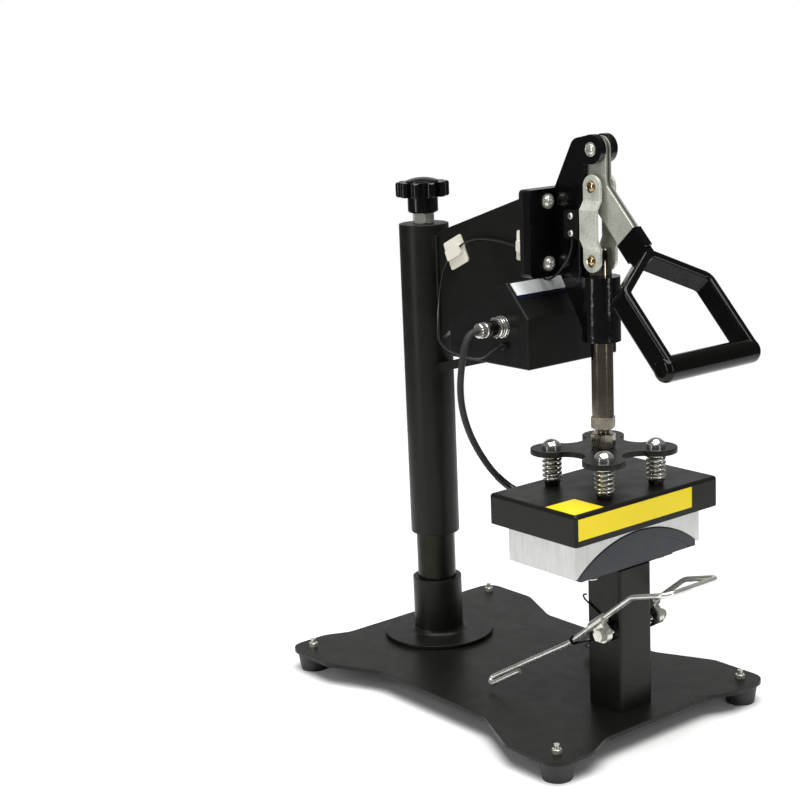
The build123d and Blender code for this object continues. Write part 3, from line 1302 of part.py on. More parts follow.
knee = Vector(0, BAIL_KNEE[1], BAIL_KNEE[2])
bail_pivot = Vector(0, BAIL_PIVOT_Y, BAIL_PIVOT_Z)
bail_line = (Vector(0, BAIL_BEND[1], BAIL_BEND[2]) - knee).normalized()
bail_foot = knee + bail_line * (bail_pivot - knee).dot(bail_line)

with BuildPart() as bail_hubs:
    for way in (1, -1):
        sleeve_start = bail_foot - bail_line * (BAIL_SLEEVE_LENGTH / 2) + Vector(way * BAIL_ARM_X, 0, 0)
        with BuildSketch(Plane(origin=sleeve_start, z_dir=bail_line)):
            Circle(BAIL_SLEEVE_R)
        extrude(amount=BAIL_SLEEVE_LENGTH)
        with BuildSketch(across(way * BAIL_ARM_X, 0, 0)):
            with Locations((BAIL_PIVOT_Y, BAIL_PIVOT_Z)):
                Circle(BAIL_HUB_R)
            with BuildLine():
                tabs = [bail_foot + bail_line * BAIL_TAB, bail_foot - bail_line * BAIL_TAB]
                ends = [bail_pivot - bail_line * BAIL_HUB_R, bail_pivot + bail_line * BAIL_HUB_R]
                Polyline(*[(p.Y, p.Z) for p in tabs + ends], close=True)
            make_face()
        extrude(amount=BAIL_HUB_THICK / 2, both=True)
    with BuildSketch(across(-2 * BAIL_ARM_X, BAIL_PIVOT_Y, BAIL_PIVOT_Z)):
        Circle(BAIL_BOLT_R + SLIDE_FIT)
    extrude(amount=4 * BAIL_ARM_X, mode=Mode.SUBTRACT)
    add(tension_bail.part, mode=Mode.SUBTRACT)
save(bail_hubs, "bail_hubs")

hub_side = BAIL_ARM_X + BAIL_HUB_THICK / 2 + SOFT_GAP
with BuildPart() as bail_bolt:
    with BuildSketch(across(-hub_side, BAIL_PIVOT_Y, BAIL_PIVOT_Z)):
        Circle(BAIL_BOLT_R)
    extrude(amount=hub_side + BAIL_BOLT_REACH)
    with BuildSketch(across(-hub_side, BAIL_PIVOT_Y, BAIL_PIVOT_Z)):
        RegularPolygon(radius=BAIL_BOLT_FLATS / 2, side_count=6, major_radius=False)
    extrude(amount=-BAIL_HEAD_HEIGHT)
    with BuildSketch(across(hub_side, BAIL_PIVOT_Y, BAIL_PIVOT_Z)):
        RegularPolygon(radius=BAIL_BOLT_FLATS / 2, side_count=6, major_radius=False)
        Circle(BAIL_BOLT_R + THREAD_FIT, mode=Mode.SUBTRACT)
    extrude(amount=BAIL_HEAD_HEIGHT)
save(bail_bolt, "bail_bolt")

# Each torsion spring rests one leg on the post and hooks the other round the bail
with BuildPart() as bail_springs:
    for way in (1, -1):
        with BuildLine() as coil:
            Helix(
                TORSION_LENGTH / TORSION_TURNS,
                TORSION_LENGTH,
                TORSION_R,
                center=(way * (TORSION_START_X + 2 * TORSION_WIRE_R + PIN_FIT), BAIL_PIVOT_Y, BAIL_PIVOT_Z),
                direction=(way, 0, 0),
            )
        with BuildSketch(Plane(origin=coil.line @ 0, z_dir=coil.line % 0)):
            Circle(TORSION_WIRE_R)
        sweep(path=coil.line, is_frenet=True)
        leg_x = way * TORSION_START_X
        start_z = BAIL_PIVOT_Z + TORSION_R
        rest_y, rest_z = TORSION_REST
        leg = [
            (leg_x, BAIL_PIVOT_Y, start_z),
            (leg_x, (BAIL_PIVOT_Y + rest_y) / 2, (start_z + rest_z) / 2 - TORSION_SAG),
            (leg_x, rest_y, rest_z),
        ]
        leg = leg + [(leg_x, rest_y + y, rest_z + z) for y, z in TORSION_CURL]
        add(round_bar(leg, [TORSION_LEG_R, TORSION_CURL_R, TORSION_CURL_R], TORSION_WIRE_R))
save(bail_springs, "bail_springs")

catch = knee + bail_line * TORSION_CATCH
with BuildPart() as spring_hooks:
    for way in (1, -1):
        ring_middle = catch + Vector(way * BAIL_ARM_X, 0, 0)
        with BuildSketch(Plane(origin=ring_middle, z_dir=bail_line)):
            Circle(BAIL_WIRE_R + 2 * TORSION_WIRE_R)
            Circle(BAIL_WIRE_R, mode=Mode.SUBTRACT)
        extrude(amount=TORSION_WIRE_R, both=True)
        under = ring_middle + Vector(0, -bail_line.Z, bail_line.Y) * (BAIL_WIRE_R + TORSION_WIRE_R)
        leg = [
            (way * TORSION_LEG_X, BAIL_PIVOT_Y, BAIL_PIVOT_Z - TORSION_R),
            (way * TORSION_LEG_X, (BAIL_PIVOT_Y + under.Y) / 2, BAIL_PIVOT_Z - TORSION_R - 2 * TORSION_SAG),
            (under.X, under.Y, under.Z),
        ]
        add(round_bar(leg, [TORSION_LEG_R], TORSION_WIRE_R))
    add(tension_bail.part, mode=Mode.SUBTRACT)
save(spring_hooks, "spring_hooks")

# ================================================================ control box
box_profile = [
    (BOX_FRONT, BOX_BOTTOM),
    (BOX_FRONT, BOX_FRONT_TOP),
    (BOX_RIDGE_Y, BOX_RIDGE_Z),
    (BOX_BACK, BOX_BACK_TOP),
    (BOX_BACK, BOX_BOTTOM),
]
BOARD_Z = BOX_BOTTOM + BOX_WALL + BOARD_LIFT

with BuildPart() as box_shell:
    with BuildSketch(Plane.YZ.offset(BOX_MIDDLE_X)):
        with BuildLine():
            Polyline(*box_profile, close=True)
        make_face()
    extrude(amount=BOX_WIDTH / 2, both=True)
    fillet(box_shell.edges(), BOX_ROUND)
    with BuildSketch(Plane.YZ.offset(BOX_MIDDLE_X)):
        with BuildLine():
            Polyline(*box_profile, close=True)
        make_face()
        offset(amount=-BOX_WALL, mode=Mode.REPLACE)
    extrude(amount=BOX_WIDTH / 2 - BOX_WALL, both=True, mode=Mode.SUBTRACT)

seam = Plane(origin=(0, BOX_SEAM, 0), x_dir=(1, 0, 0), z_dir=(0, 1, 0))

with BuildPart() as box_front:
    add(box_shell.part)
    split(bisect_by=seam, keep=Keep.BOTTOM)
save(box_front, "box_front")

with BuildPart() as box_rear:
    add(box_shell.part)
    split(bisect_by=seam, keep=Keep.TOP)
    with BuildSketch(Plane.XY.offset(BOX_BOTTOM + BOX_WALL)):
        with Locations((BOX_MIDDLE_X, BOARD_Y)):
            with GridLocations(BOARD_WIDTH - 4 * STANDOFF_R, BOARD_LENGTH - 4 * STANDOFF_R, 2, 2):
                Circle(STANDOFF_R)
    extrude(amount=BOARD_LIFT)
    with BuildSketch(across(BOX_LEFT, OUTLET_Y, OUTLET_Z)):
        Circle(OUTLET_BODY_R)
    extrude(amount=BOX_WALL, mode=Mode.SUBTRACT)
    with BuildSketch(across(BOX_LEFT, LEAD_ROUTE[-1][1], LEAD_ROUTE[-1][2])):
        Circle(GROMMET_BORE_R)
    extrude(amount=BOX_WALL, mode=Mode.SUBTRACT)
    with BuildSketch(across(BOX_RIGHT, SWITCH_BOX_Y, SWITCH_BOX_Z)):
        Rectangle(SWITCH_BOX_LENGTH, SWITCH_BOX_HEIGHT)
    extrude(amount=-BOX_WALL, mode=Mode.SUBTRACT)
    with BuildSketch(facing_front(INLET_X, BOX_BACK, INLET_Z)):
        Circle(INLET_BORE_R + SCREW_CLEARANCE)
    extrude(amount=BOX_WALL, mode=Mode.SUBTRACT)
    with BuildSketch(Plane.XY.offset(BOX_BOTTOM)):
        with Locations(*[(0, y) for y in BOX_SCREWS_Y]):
            Circle(BOX_SCREW_R + THREAD_FIT)
    extrude(amount=BOX_WALL, mode=Mode.SUBTRACT)
save(box_rear, "box_rear")

with BuildPart() as display_panel:
    with BuildSketch(BOX_SLOPE_PLANE):
        with Locations((BOX_MIDDLE_X, -DISPLAY_MARGIN - BOX_ROUND)):
            Rectangle(DISPLAY_WIDTH, DISPLAY_HEIGHT, align=(Align.CENTER, Align.MAX))
    extrude(amount=DISPLAY_THICK)
save(display_panel, "display_panel")

with BuildPart() as control_board:
    with BuildSketch(Plane.XY.offset(BOARD_Z)):
        with Locations((BOX_MIDDLE_X, BOARD_Y)):
            Rectangle(BOARD_WIDTH, BOARD_LENGTH)
    extrude(amount=BOARD_THICK)
save(control_board, "control_board")

bracket_top = BRACKET_AT_TUBE + BRACKET_HEIGHT
bracket_tube_y = COLUMN_Y - TUBE_R
bracket_meets_y = bracket_tube_y - (BOX_BOTTOM - bracket_top) / BRACKET_SLOPE
with BuildPart() as box_bracket:
    with BuildSketch(Plane.YZ):
        with BuildLine():
            Polyline(
                (COLUMN_Y - POST_R, BRACKET_AT_TUBE),
                (bracket_tube_y, BRACKET_AT_TUBE),
                (bracket_meets_y, BOX_BOTTOM - BRACKET_HEIGHT),
                (bracket_meets_y - BRACKET_HEIGHT, BOX_BOTTOM - BRACKET_PAD),
                (BRACKET_FRONT, BOX_BOTTOM - BRACKET_PAD),
                (BRACKET_FRONT, BOX_BOTTOM),
                (bracket_meets_y, BOX_BOTTOM),
                (bracket_tube_y, bracket_top),
                (COLUMN_Y - POST_R, bracket_top),
                close=True,
            )
        make_face()
    extrude(amount=BRACKET_WIDTH / 2, both=True)
    with BuildSketch(Plane.XY.offset(TUBE_BOTTOM)):
        with Locations((0, COLUMN_Y)):
            Circle(TUBE_R)
    extrude(amount=TUBE_TOP - TUBE_BOTTOM, mode=Mode.SUBTRACT)
    with BuildSketch(Plane.XY.offset(BOX_BOTTOM - BRACKET_PAD)):
        with Locations(*[(0, y) for y in BOX_SCREWS_Y]):
            Circle(BOX_SCREW_R + SCREW_CLEARANCE)
    extrude(amount=BRACKET_PAD, mode=Mode.SUBTRACT)
save(box_bracket, "box_bracket")

with BuildPart() as heater_socket:
    with BuildSketch(across(BOX_LEFT + BOX_WALL, OUTLET_Y, OUTLET_Z)):
        Circle(OUTLET_BODY_R)
    extrude(amount=-BOX_WALL - OUTLET_RING)
    with BuildSketch(across(BOX_LEFT, OUTLET_Y, OUTLET_Z)):
        Circle(OUTLET_RING_R)
    extrude(amount=-OUTLET_RING)
    with BuildSketch(across(BOX_LEFT + BOX_WALL, OUTLET_Y, OUTLET_Z)):
        Circle(OUTLET_RING_R)
    extrude(amount=OUTLET_RING)
save(heater_socket, "heater_socket")

with BuildPart() as heater_plug:
    with BuildSketch(across(BOX_LEFT - OUTLET_RING, OUTLET_Y, OUTLET_Z)):
        Circle(PLUG_RING_R)
    extrude(amount=-PLUG_RING)
    with BuildSketch(across(BOX_LEFT - OUTLET_RING - PLUG_RING, OUTLET_Y, OUTLET_Z)):
        Circle(PLUG_BODY_R)
    extrude(amount=-PLUG_BODY)
    with BuildSketch(across(BOX_LEFT - OUTLET_RING - PLUG_RING - PLUG_BODY, OUTLET_Y, OUTLET_Z)):
        Circle(PLUG_TAIL_R)
    extrude(amount=-PLUG_TAIL)
save(heater_plug, "heater_plug")

with BuildPart() as lead_grommet:
    with BuildSketch(across(BOX_LEFT, LEAD_ROUTE[-1][1], LEAD_ROUTE[-1][2])):
        Circle(GROMMET_R)
    extrude(amount=-GROMMET_LENGTH)
    with BuildSketch(across(BOX_LEFT, LEAD_ROUTE[-1][1], LEAD_ROUTE[-1][2])):
        Circle(GROMMET_BORE_R)
    extrude(amount=BOX_WALL)
save(lead_grommet, "lead_grommet")

with BuildPart() as mains_inlet:
    with BuildSketch(facing_front(INLET_X, BOX_BACK, INLET_Z)):
        Circle(INLET_R)
        Circle(INLET_BORE_R, mode=Mode.SUBTRACT)
    extrude(amount=-INLET_LENGTH)
    chamfer(mains_inlet.faces().sort_by(Axis.Y)[-1].outer_wire().edges(), INLET_BEVEL)
save(mains_inlet, "mains_inlet")

rocker_plane = Plane(
    origin=(BOX_RIGHT + SWITCH_BEZEL - ROCKER_DROP, SWITCH_BOX_Y, SWITCH_BOX_Z),
    x_dir=(sin(radians(ROCKER_TILT)), cos(radians(ROCKER_TILT)), 0),
    z_dir=(0, 0, 1),
)
rocker_half = SWITCH_BOX_HEIGHT / 2 - SWITCH_WALL - ROCKER_PLAY
with BuildPart() as switch_frame:
    with BuildSketch(across(BOX_RIGHT, SWITCH_BOX_Y, SWITCH_BOX_Z)):
        bezel_length = SWITCH_BOX_LENGTH + 2 * SWITCH_BEZEL_RIM
        RectangleRounded(bezel_length, SWITCH_BOX_HEIGHT + 2 * SWITCH_BEZEL_RIM, SWITCH_BEZEL_RIM)
    extrude(amount=SWITCH_BEZEL)
    with BuildSketch(across(BOX_RIGHT, SWITCH_BOX_Y, SWITCH_BOX_Z)):
        Rectangle(SWITCH_BOX_LENGTH, SWITCH_BOX_HEIGHT)
    extrude(amount=-SWITCH_BOX_DEPTH)
    with BuildSketch(across(BOX_RIGHT + SWITCH_BEZEL, SWITCH_BOX_Y, SWITCH_BOX_Z)):
        Rectangle(SWITCH_BOX_LENGTH - 2 * SWITCH_WALL, SWITCH_BOX_HEIGHT - 2 * SWITCH_WALL)
    extrude(amount=SWITCH_WALL - SWITCH_BEZEL - SWITCH_BOX_DEPTH, mode=Mode.SUBTRACT)
    with BuildSketch(rocker_plane):
        Circle(ROCKER_PIN_R + PIN_FIT)
    extrude(amount=rocker_half + ROCKER_PLAY + SWITCH_WALL / 2, both=True, mode=Mode.SUBTRACT)
save(switch_frame, "switch_frame")

with BuildPart() as power_rocker:
    with BuildSketch(rocker_plane):
        Circle(ROCKER_R)
        with BuildLine():
            Polyline(
                (-ROCKER_R, ROCKER_SKIRT),
                (ROCKER_R, ROCKER_SKIRT),
                (ROCKER_R, -ROCKER_RISE),
                (0, -ROCKER_DIP),
                (-ROCKER_R, -ROCKER_RISE),
                close=True,
            )
        make_face(mode=Mode.INTERSECT)
    extrude(amount=rocker_half, both=True)
    with BuildSketch(rocker_plane):
        Circle(ROCKER_PIN_R)
    extrude(amount=rocker_half + ROCKER_PLAY + SWITCH_WALL / 2, both=True)
save(power_rocker, "power_rocker")
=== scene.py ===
# %% [markdown]
# # A cap heat press
# A cap press is a bench machine. A sprung, heated aluminium block with a hollow face comes down
# on a curved, silicone-padded form, and a toggle clamp gives the force. The construction is
# already exact, so this lesson is about what the eye sees: powder coat, gloss enamel, zinc plate,
# dipped vinyl, a braided cable and the threads and welds that a plain solid leaves out.

from math import atan2, cos, pi, radians, sin, sqrt, tan

import bmesh
import bpy
from mathutils import Matrix, Vector


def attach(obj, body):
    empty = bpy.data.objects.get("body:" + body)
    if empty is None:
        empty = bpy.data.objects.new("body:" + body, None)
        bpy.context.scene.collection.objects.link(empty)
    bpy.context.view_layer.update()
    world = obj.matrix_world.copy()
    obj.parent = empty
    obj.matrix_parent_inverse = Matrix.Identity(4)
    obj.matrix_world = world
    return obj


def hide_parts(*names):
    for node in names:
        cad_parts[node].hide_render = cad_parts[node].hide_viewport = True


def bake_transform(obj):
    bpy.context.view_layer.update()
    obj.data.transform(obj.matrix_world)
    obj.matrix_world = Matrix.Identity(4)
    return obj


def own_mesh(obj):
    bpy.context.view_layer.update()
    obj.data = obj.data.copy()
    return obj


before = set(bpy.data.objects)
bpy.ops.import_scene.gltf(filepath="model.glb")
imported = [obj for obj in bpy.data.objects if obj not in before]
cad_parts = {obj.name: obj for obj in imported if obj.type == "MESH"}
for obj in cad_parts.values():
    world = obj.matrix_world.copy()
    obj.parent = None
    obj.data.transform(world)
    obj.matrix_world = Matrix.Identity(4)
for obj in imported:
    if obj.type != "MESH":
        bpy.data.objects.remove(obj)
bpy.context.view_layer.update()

# %% [markdown]
# Everything is in metres, in the frame of the construction, but a maker thinks in millimetres, so
# one factor turns millimetres to metres. The construction was drawn about the middle of the base
# plate and then moved, so that the origin is under the middle of the whole press. SHIFT is that
# move, along Y.

# %% Millimetres and the middle of the press
UP = (0, 0, 1)
DOWN = (0, 0, -1)
LEFT = (-1, 0, 0)
RIGHT = (1, 0, 0)
MM = 0.001
SHIFT = 28.29948
PRESS_Y = -118.5


def at(x, y, z):
    """A point given in millimetres about the middle of the base plate, as a vector in metres."""
    return Vector((x, y + SHIFT, z)) * MM


# %% [markdown]
# ## The camera
# The camera stands at the operator's left, a little above the clamp and about a metre and a half
# away. Its attitude is three angles: the side that it stands on, how far it looks down, and a
# small roll. A matrix from those angles is clearer here than a tracking constraint.

# %% The camera
CAMERA_SPOT = (-1012.4, -1119.2, 618.2)
LENS_MM = 74.93
azimuth = radians(-38.22)
pitch = radians(12.52)
roll = radians(-2.45)
back = Vector((sin(azimuth) * cos(pitch), -cos(azimuth) * cos(pitch), sin(pitch)))
right = Vector((cos(azimuth), sin(azimuth), 0))
up = back.cross(right)
cam_x = right * cos(roll) + up * sin(roll)
cam_y = up * cos(roll) - right * sin(roll)
cam_data = bpy.data.cameras.new("camera")
cam_data.lens = LENS_MM
cam_data.sensor_width = 36.0
cam_data.clip_end = 50.0
camera = bpy.data.objects.new("camera", cam_data)
turn = Matrix((cam_x, cam_y, back)).transposed().to_4x4()
camera.matrix_world = Matrix.Translation(at(*CAMERA_SPOT)) @ turn
bpy.context.scene.collection.objects.link(camera)
bpy.context.scene.camera = camera
print("camera at", [round(v, 3) for v in camera.matrix_world.translation])

# %% [markdown]
# ## Small tools
# Three helpers carry the whole scene. `colour` turns a painter's hex value into the linear light
# that Blender works in. `add_node` adds one shader node, sets its sockets and wires its inputs.
# `piece` turns a bmesh into a finished object, whose origin stays at the world origin.

# %% Colours and nodes


def colour(hex_value):
    """An sRGB hex value such as '#1e1e1d' as a linear RGBA tuple."""
    channels = [int(hex_value[i : i + 2], 16) / 255 for i in (1, 3, 5)]
    linear = [c / 12.92 if c <= 0.04045 else ((c + 0.055) / 1.055) ** 2.4 for c in channels]
    return (*linear, 1.0)


def add_node(tree, kind, settings=None, links=None, **properties):
    """Adds a shader node: settings are socket values, links are {input: output socket}."""
    node = tree.nodes.new(kind)
    for name, value in properties.items():
        setattr(node, name, value)
    for name, value in (settings or {}).items():
        node.inputs[name].default_value = value
    for name, socket in (links or {}).items():
        tree.links.new(socket, node.inputs[name])
    return node


def new_material(name, base, roughness, metallic=0.0, **sockets):
    """A material with one Principled shader, and the Object coordinates for its patterns."""
    material = bpy.data.materials.new(name)
    material.use_nodes = True
    tree = material.node_tree
    shader = tree.nodes["Principled BSDF"]
    shader.inputs["Base Color"].default_value = colour(base)
    shader.inputs["Roughness"].default_value = roughness
    shader.inputs["Metallic"].default_value = metallic
    for socket, value in sockets.items():
        shader.inputs[socket.replace("_", " ")].default_value = value
    place = add_node(tree, "ShaderNodeTexCoord").outputs["Object"]
    return material, tree, shader, place


def ramp(tree, factor, low, high, start=0.35, end=0.65):
    """A soft step between two values or two hex colours, driven by a pattern."""
    node = add_node(tree, "ShaderNodeValToRGB", links={"Fac": factor})
    for element, position, value in zip(node.color_ramp.elements, (start, end), (low, high)):
        element.position = position
        element.color = colour(value) if isinstance(value, str) else (value, value, value, 1)
    return node.outputs["Color"]


def noise(tree, place, size_mm, detail=3.0, stretch=(1, 1, 1)):
    """Noise with grains about size_mm across, and longer along an axis with a small stretch."""
    scaled = add_node(tree, "ShaderNodeMapping", {"Scale": stretch}, {"Vector": place})
    settings = {"Scale": 1 / (size_mm * MM), "Detail": detail}
    links = {"Vector": scaled.outputs["Vector"]}
    return add_node(tree, "ShaderNodeTexNoise", settings, links).outputs["Fac"]


def raise_surface(tree, shader, height, depth_mm):
    """Gives the shader a bump with a real depth in millimetres."""
    settings = {"Strength": 1.0, "Distance": depth_mm * MM}
    bump = add_node(tree, "ShaderNodeBump", settings, {"Height": height})
    tree.links.new(bump.outputs["Normal"], shader.inputs["Normal"])


# %% Pieces


def piece(bm, name, material, body=None, stands_for=(), sharp=35.0):
    """Finishes a bmesh as an object. It may ride on a body, and stand for CAD nodes."""
    mesh = bpy.data.meshes.new(name)
    bm.to_mesh(mesh)
    bm.free()
    mesh.materials.append(material)
    mesh.shade_smooth()
    mesh.set_sharp_from_angle(angle=radians(sharp))
    thing = bpy.data.objects.new(name, mesh)
    bpy.context.scene.collection.objects.link(thing)
    if body:
        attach(thing, body)
    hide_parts(*stands_for)
    print(name, len(mesh.polygons), "faces")
    return thing


def wear(name, material):
    """Gives a CAD node its material."""
    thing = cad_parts[name]
    thing.data.materials.clear()
    thing.data.materials.append(material)


# %% [markdown]
# ## Finishes
# Black powder coat is polyester powder melted onto the steel. It is satin, with a fine orange
# peel, and it gives a broad soft highlight. A large panel is also a little cloudy where the film
# is thicker.

# %% Powder coat and enamel


def satin_coat(name, base, pale, roughness, grain_mm, depth_mm, shine=0.5):
    """A satin coat: an orange peel of small grains, and a gloss that is a little uneven."""
    material, tree, shader, place = new_material(name, base, roughness, Specular_IOR_Level=shine)
    tint = ramp(tree, noise(tree, place, 40.0), base, pale, 0.3, 0.75)
    tree.links.new(tint, shader.inputs["Base Color"])
    gloss = ramp(tree, noise(tree, place, 15.0), roughness - 0.04, roughness + 0.05, 0.3, 0.7)
    tree.links.new(gloss, shader.inputs["Roughness"])
    raise_surface(tree, shader, noise(tree, place, grain_mm), depth_mm)
    return material


powder_black = satin_coat("powder_coat_black", "#11110f", "#161613", 0.36, 1.4, 0.02, 0.22)
abs_black = satin_coat("abs_black_spark_texture", "#0e0e0d", "#111110", 0.38, 0.8, 0.012, 0.2)
knob_black = satin_coat("abs_black_polished", "#070707", "#0a0a09", 0.20, 4.0, 0.01, 0.35)

# %% [markdown]
# The clamp is a casting under gloss enamel. The enamel is smooth and wet-looking, but it follows
# the lumps of the sand mould, so its highlights are broken into spots. The coat is a clear layer
# over the black.

# %% Gloss enamel on a casting
cast_enamel, tree, shader, place = new_material(
    "gloss_enamel_on_casting",
    "#050505",
    0.30,
    Specular_IOR_Level=0.1,
    Coat_Weight=0.5,
    Coat_Roughness=0.12,
)
lumps = noise(tree, place, 7.0)
raise_surface(tree, shader, lumps, 0.35)
tree.links.new(shader.inputs["Normal"].links[0].from_socket, shader.inputs["Coat Normal"])

# %% [markdown]
# Dipped vinyl is a thick, soft PVC skin. It is glossier than rubber and has long, smooth
# highlights with slow ripples where the dip ran down.

# %% Dipped vinyl
dipped_vinyl, tree, shader, place = new_material(
    "dipped_vinyl_black", "#060605", 0.14, Specular_IOR_Level=0.22
)
gloss = ramp(tree, noise(tree, place, 12.0), 0.11, 0.18, 0.3, 0.7)
tree.links.new(gloss, shader.inputs["Roughness"])
raise_surface(tree, shader, noise(tree, place, 14.0, 1.0), 0.03)

# %% [markdown]
# Metals keep the default IOR. What tells them apart is colour and how rough they are, and which
# way the marks run: zinc plate is pale, faintly warm and cloudy, drawn steel has lines along the
# bar, turned steel has rings, and milled aluminium has short parallel cutter marks. A plating that
# is passivated, or metal with a dull skin, scatters some of the light as well as mirroring it, so
# those finishes are given a metallic value below one.

# %% Metals
ANY_WAY = (1, 1, 1)
UP_AND_DOWN = (1, 1, 0.03)
RINGS = (0.02, 0.02, 1)


def metal(name, colours, roughness, cloud_mm, marks_mm, depth_mm, metallic=1.0, stretch=ANY_WAY):
    """A bare or plated metal: clouds of colour, and marks that may run along one axis."""
    base, dark = colours
    material, tree, shader, place = new_material(name, base, roughness[0], metallic)
    cloud = noise(tree, place, cloud_mm, 4.0)
    tree.links.new(ramp(tree, cloud, dark, base, 0.3, 0.62), shader.inputs["Base Color"])
    marks = noise(tree, place, marks_mm, 2.0, stretch)
    gloss = ramp(tree, marks, *roughness, 0.3, 0.7)
    tree.links.new(gloss, shader.inputs["Roughness"])
    raise_surface(tree, shader, marks, depth_mm)
    return material


zinc_plate = metal("bright_zinc_plate", ("#d6d5cc", "#bdbcb2"), (0.16, 0.26), 9.0, 1.2, 0.003, 0.7)
strap_zinc = metal("zinc_plated_strap", ("#dddfd3", "#c6c9bc"), (0.24, 0.34), 9.0, 0.9, 0.006, 0.4)
chrome_plate = metal("nickel_chrome_plate", ("#e4e3de", "#cfcec8"), (0.07, 0.12), 16.0, 2.0, 0.001, 0.9)
dark_nickel = metal("black_nickel_plate", ("#4a4641", "#3b3833"), (0.22, 0.32), 10.0, 1.0, 0.003)
turned_steel = metal(
    "turned_steel", ("#a0978a", "#7d7468"), (0.08, 0.13), 22.0, 0.35, 0.001, stretch=RINGS
)
drawn_wire = metal("drawn_steel_wire", ("#d6d5d0", "#bdbcb6"), (0.13, 0.22), 17.0, 0.9, 0.003, 0.75)
blackened_post = metal(
    "blackened_tube", ("#2a2a26", "#1f1f1b"), (0.30, 0.40), 30.0, 0.7, 0.004, stretch=UP_AND_DOWN
)
spring_black = metal("blackened_spring_wire", ("#1d1d1c", "#131312"), (0.25, 0.38), 5.0, 0.8, 0.004)
brassy_rivet = metal("yellow_zinc_plate", ("#b9a582", "#a08c69"), (0.14, 0.22), 6.0, 0.8, 0.003)
nut_steel = metal("dull_zinc_plate", ("#a39c8e", "#8c8577"), (0.20, 0.30), 8.0, 0.8, 0.004)
spring_bright = metal("bright_spring_wire", ("#d3d1ca", "#aeaca4"), (0.12, 0.20), 6.0, 0.6, 0.003, 0.75)

# %% [markdown]
# The lever is two pressed plates riveted together, so a dark joint runs along the middle of its
# edge, and each plate has a slightly rounded, darker rim. Distance from the middle plane, along X,
# gives the joint line; the rim is only rounded by the bevel, not coloured darker.

# %% The laminated lever
laminated_zinc, tree, shader, place = new_material("laminated_zinc_strap", "#b9bbb0", 0.26, 0.4)
cloud = noise(tree, place, 12.0, 5.0)
plated = ramp(tree, cloud, "#bbbdb0", "#d2d4c8", 0.3, 0.7)
across = add_node(tree, "ShaderNodeSeparateXYZ", links={"Vector": place}).outputs["X"]
distance = add_node(tree, "ShaderNodeMath", links={0: across}, operation="ABSOLUTE").outputs[0]
joint = ramp(tree, distance, 0.0, 1.0, 0.0003, 0.0007)
seam = add_node(tree, "ShaderNodeMix", {6: colour("#1d1d1a")}, data_type="RGBA")
tree.links.new(joint, seam.inputs[0])
tree.links.new(plated, seam.inputs[7])
tree.links.new(seam.outputs[2], shader.inputs["Base Color"])
tree.links.new(ramp(tree, noise(tree, place, 0.9), 0.22, 0.34, 0.3, 0.7), shader.inputs["Roughness"])
raise_surface(tree, shader, joint, 0.15)

# %% [markdown]
# The heated block is sawn from aluminium bar and milled. Its sides are bright but not polished:
# short cutter marks stand upright, some wider bands are duller, and a few scratches cross them.

# %% Milled aluminium
milled_aluminium, tree, shader, place = new_material("milled_aluminium", "#d2d2d1", 0.36, 0.75)
strokes = noise(tree, place, 0.8, 3.0, (1, 1, 0.05))
bands = noise(tree, place, 6.0, 3.0, (1, 1, 0.3))
stained = ramp(tree, bands, "#bcbcbb", "#d6d6d5", 0.3, 0.7)
lined = ramp(tree, strokes, "#b8b8b7", "#dededd", 0.3, 0.7)
tone = add_node(tree, "ShaderNodeMix", {"Factor": 0.5}, data_type="RGBA")
tree.links.new(stained, tone.inputs[6])
tree.links.new(lined, tone.inputs[7])
tree.links.new(tone.outputs[2], shader.inputs["Base Color"])
tree.links.new(ramp(tree, strokes, 0.32, 0.52), shader.inputs["Roughness"])
raise_surface(tree, shader, strokes, 0.02)

# %% [markdown]
# The soft and plastic finishes are simpler: silicone sheet is a dusty slate grey, the feet are
# plain moulded rubber, the clips are natural nylon, and the film on the display is pale and glossy.

# %% Silicone, rubber, nylon and films
silicone, tree, shader, place = new_material("silicone_sheet_slate", "#262a33", 0.46)
dust = noise(tree, place, 14.0, 5.0)
tree.links.new(ramp(tree, dust, "#20242b", "#2d323c", 0.35, 0.75), shader.inputs["Base Color"])
tree.links.new(ramp(tree, dust, 0.40, 0.56), shader.inputs["Roughness"])
raise_surface(tree, shader, noise(tree, place, 0.6), 0.01)
rubber = satin_coat("moulded_rubber", "#131312", "#191918", 0.55, 1.0, 0.02)
nylon = satin_coat("natural_nylon", "#dedbcb", "#e9e7da", 0.42, 2.0, 0.01)
label_film = satin_coat("yellow_vinyl_film", "#e2ca10", "#ead21a", 0.34, 5.0, 0.004, 0.3)
display_pale = satin_coat("display_film_pale", "#d4d6d6", "#dcdede", 0.45, 9.0, 0.003, 0.2)
display_band = satin_coat("display_film_dark_blue", "#14152a", "#181a30", 0.25, 9.0, 0.003, 0.2)
board_green = satin_coat("circuit_board_green", "#0e4326", "#14532f", 0.35, 3.0, 0.01)
fibre_board = satin_coat("ceramic_fibre_board", "#cfc9ba", "#ded9cb", 0.85, 0.8, 0.05)
print(len(bpy.data.materials), "materials")

# %% [markdown]
# ## The cords
# Two limp leads leave the control box. The heater's cable is six millimetres of braided sleeve,
# so it hangs in one loose arc to the gland on the cover. The switch's lead is a thin twin that is
# clipped along the arm. Each is one smooth NURBS curve through the bends of its route.

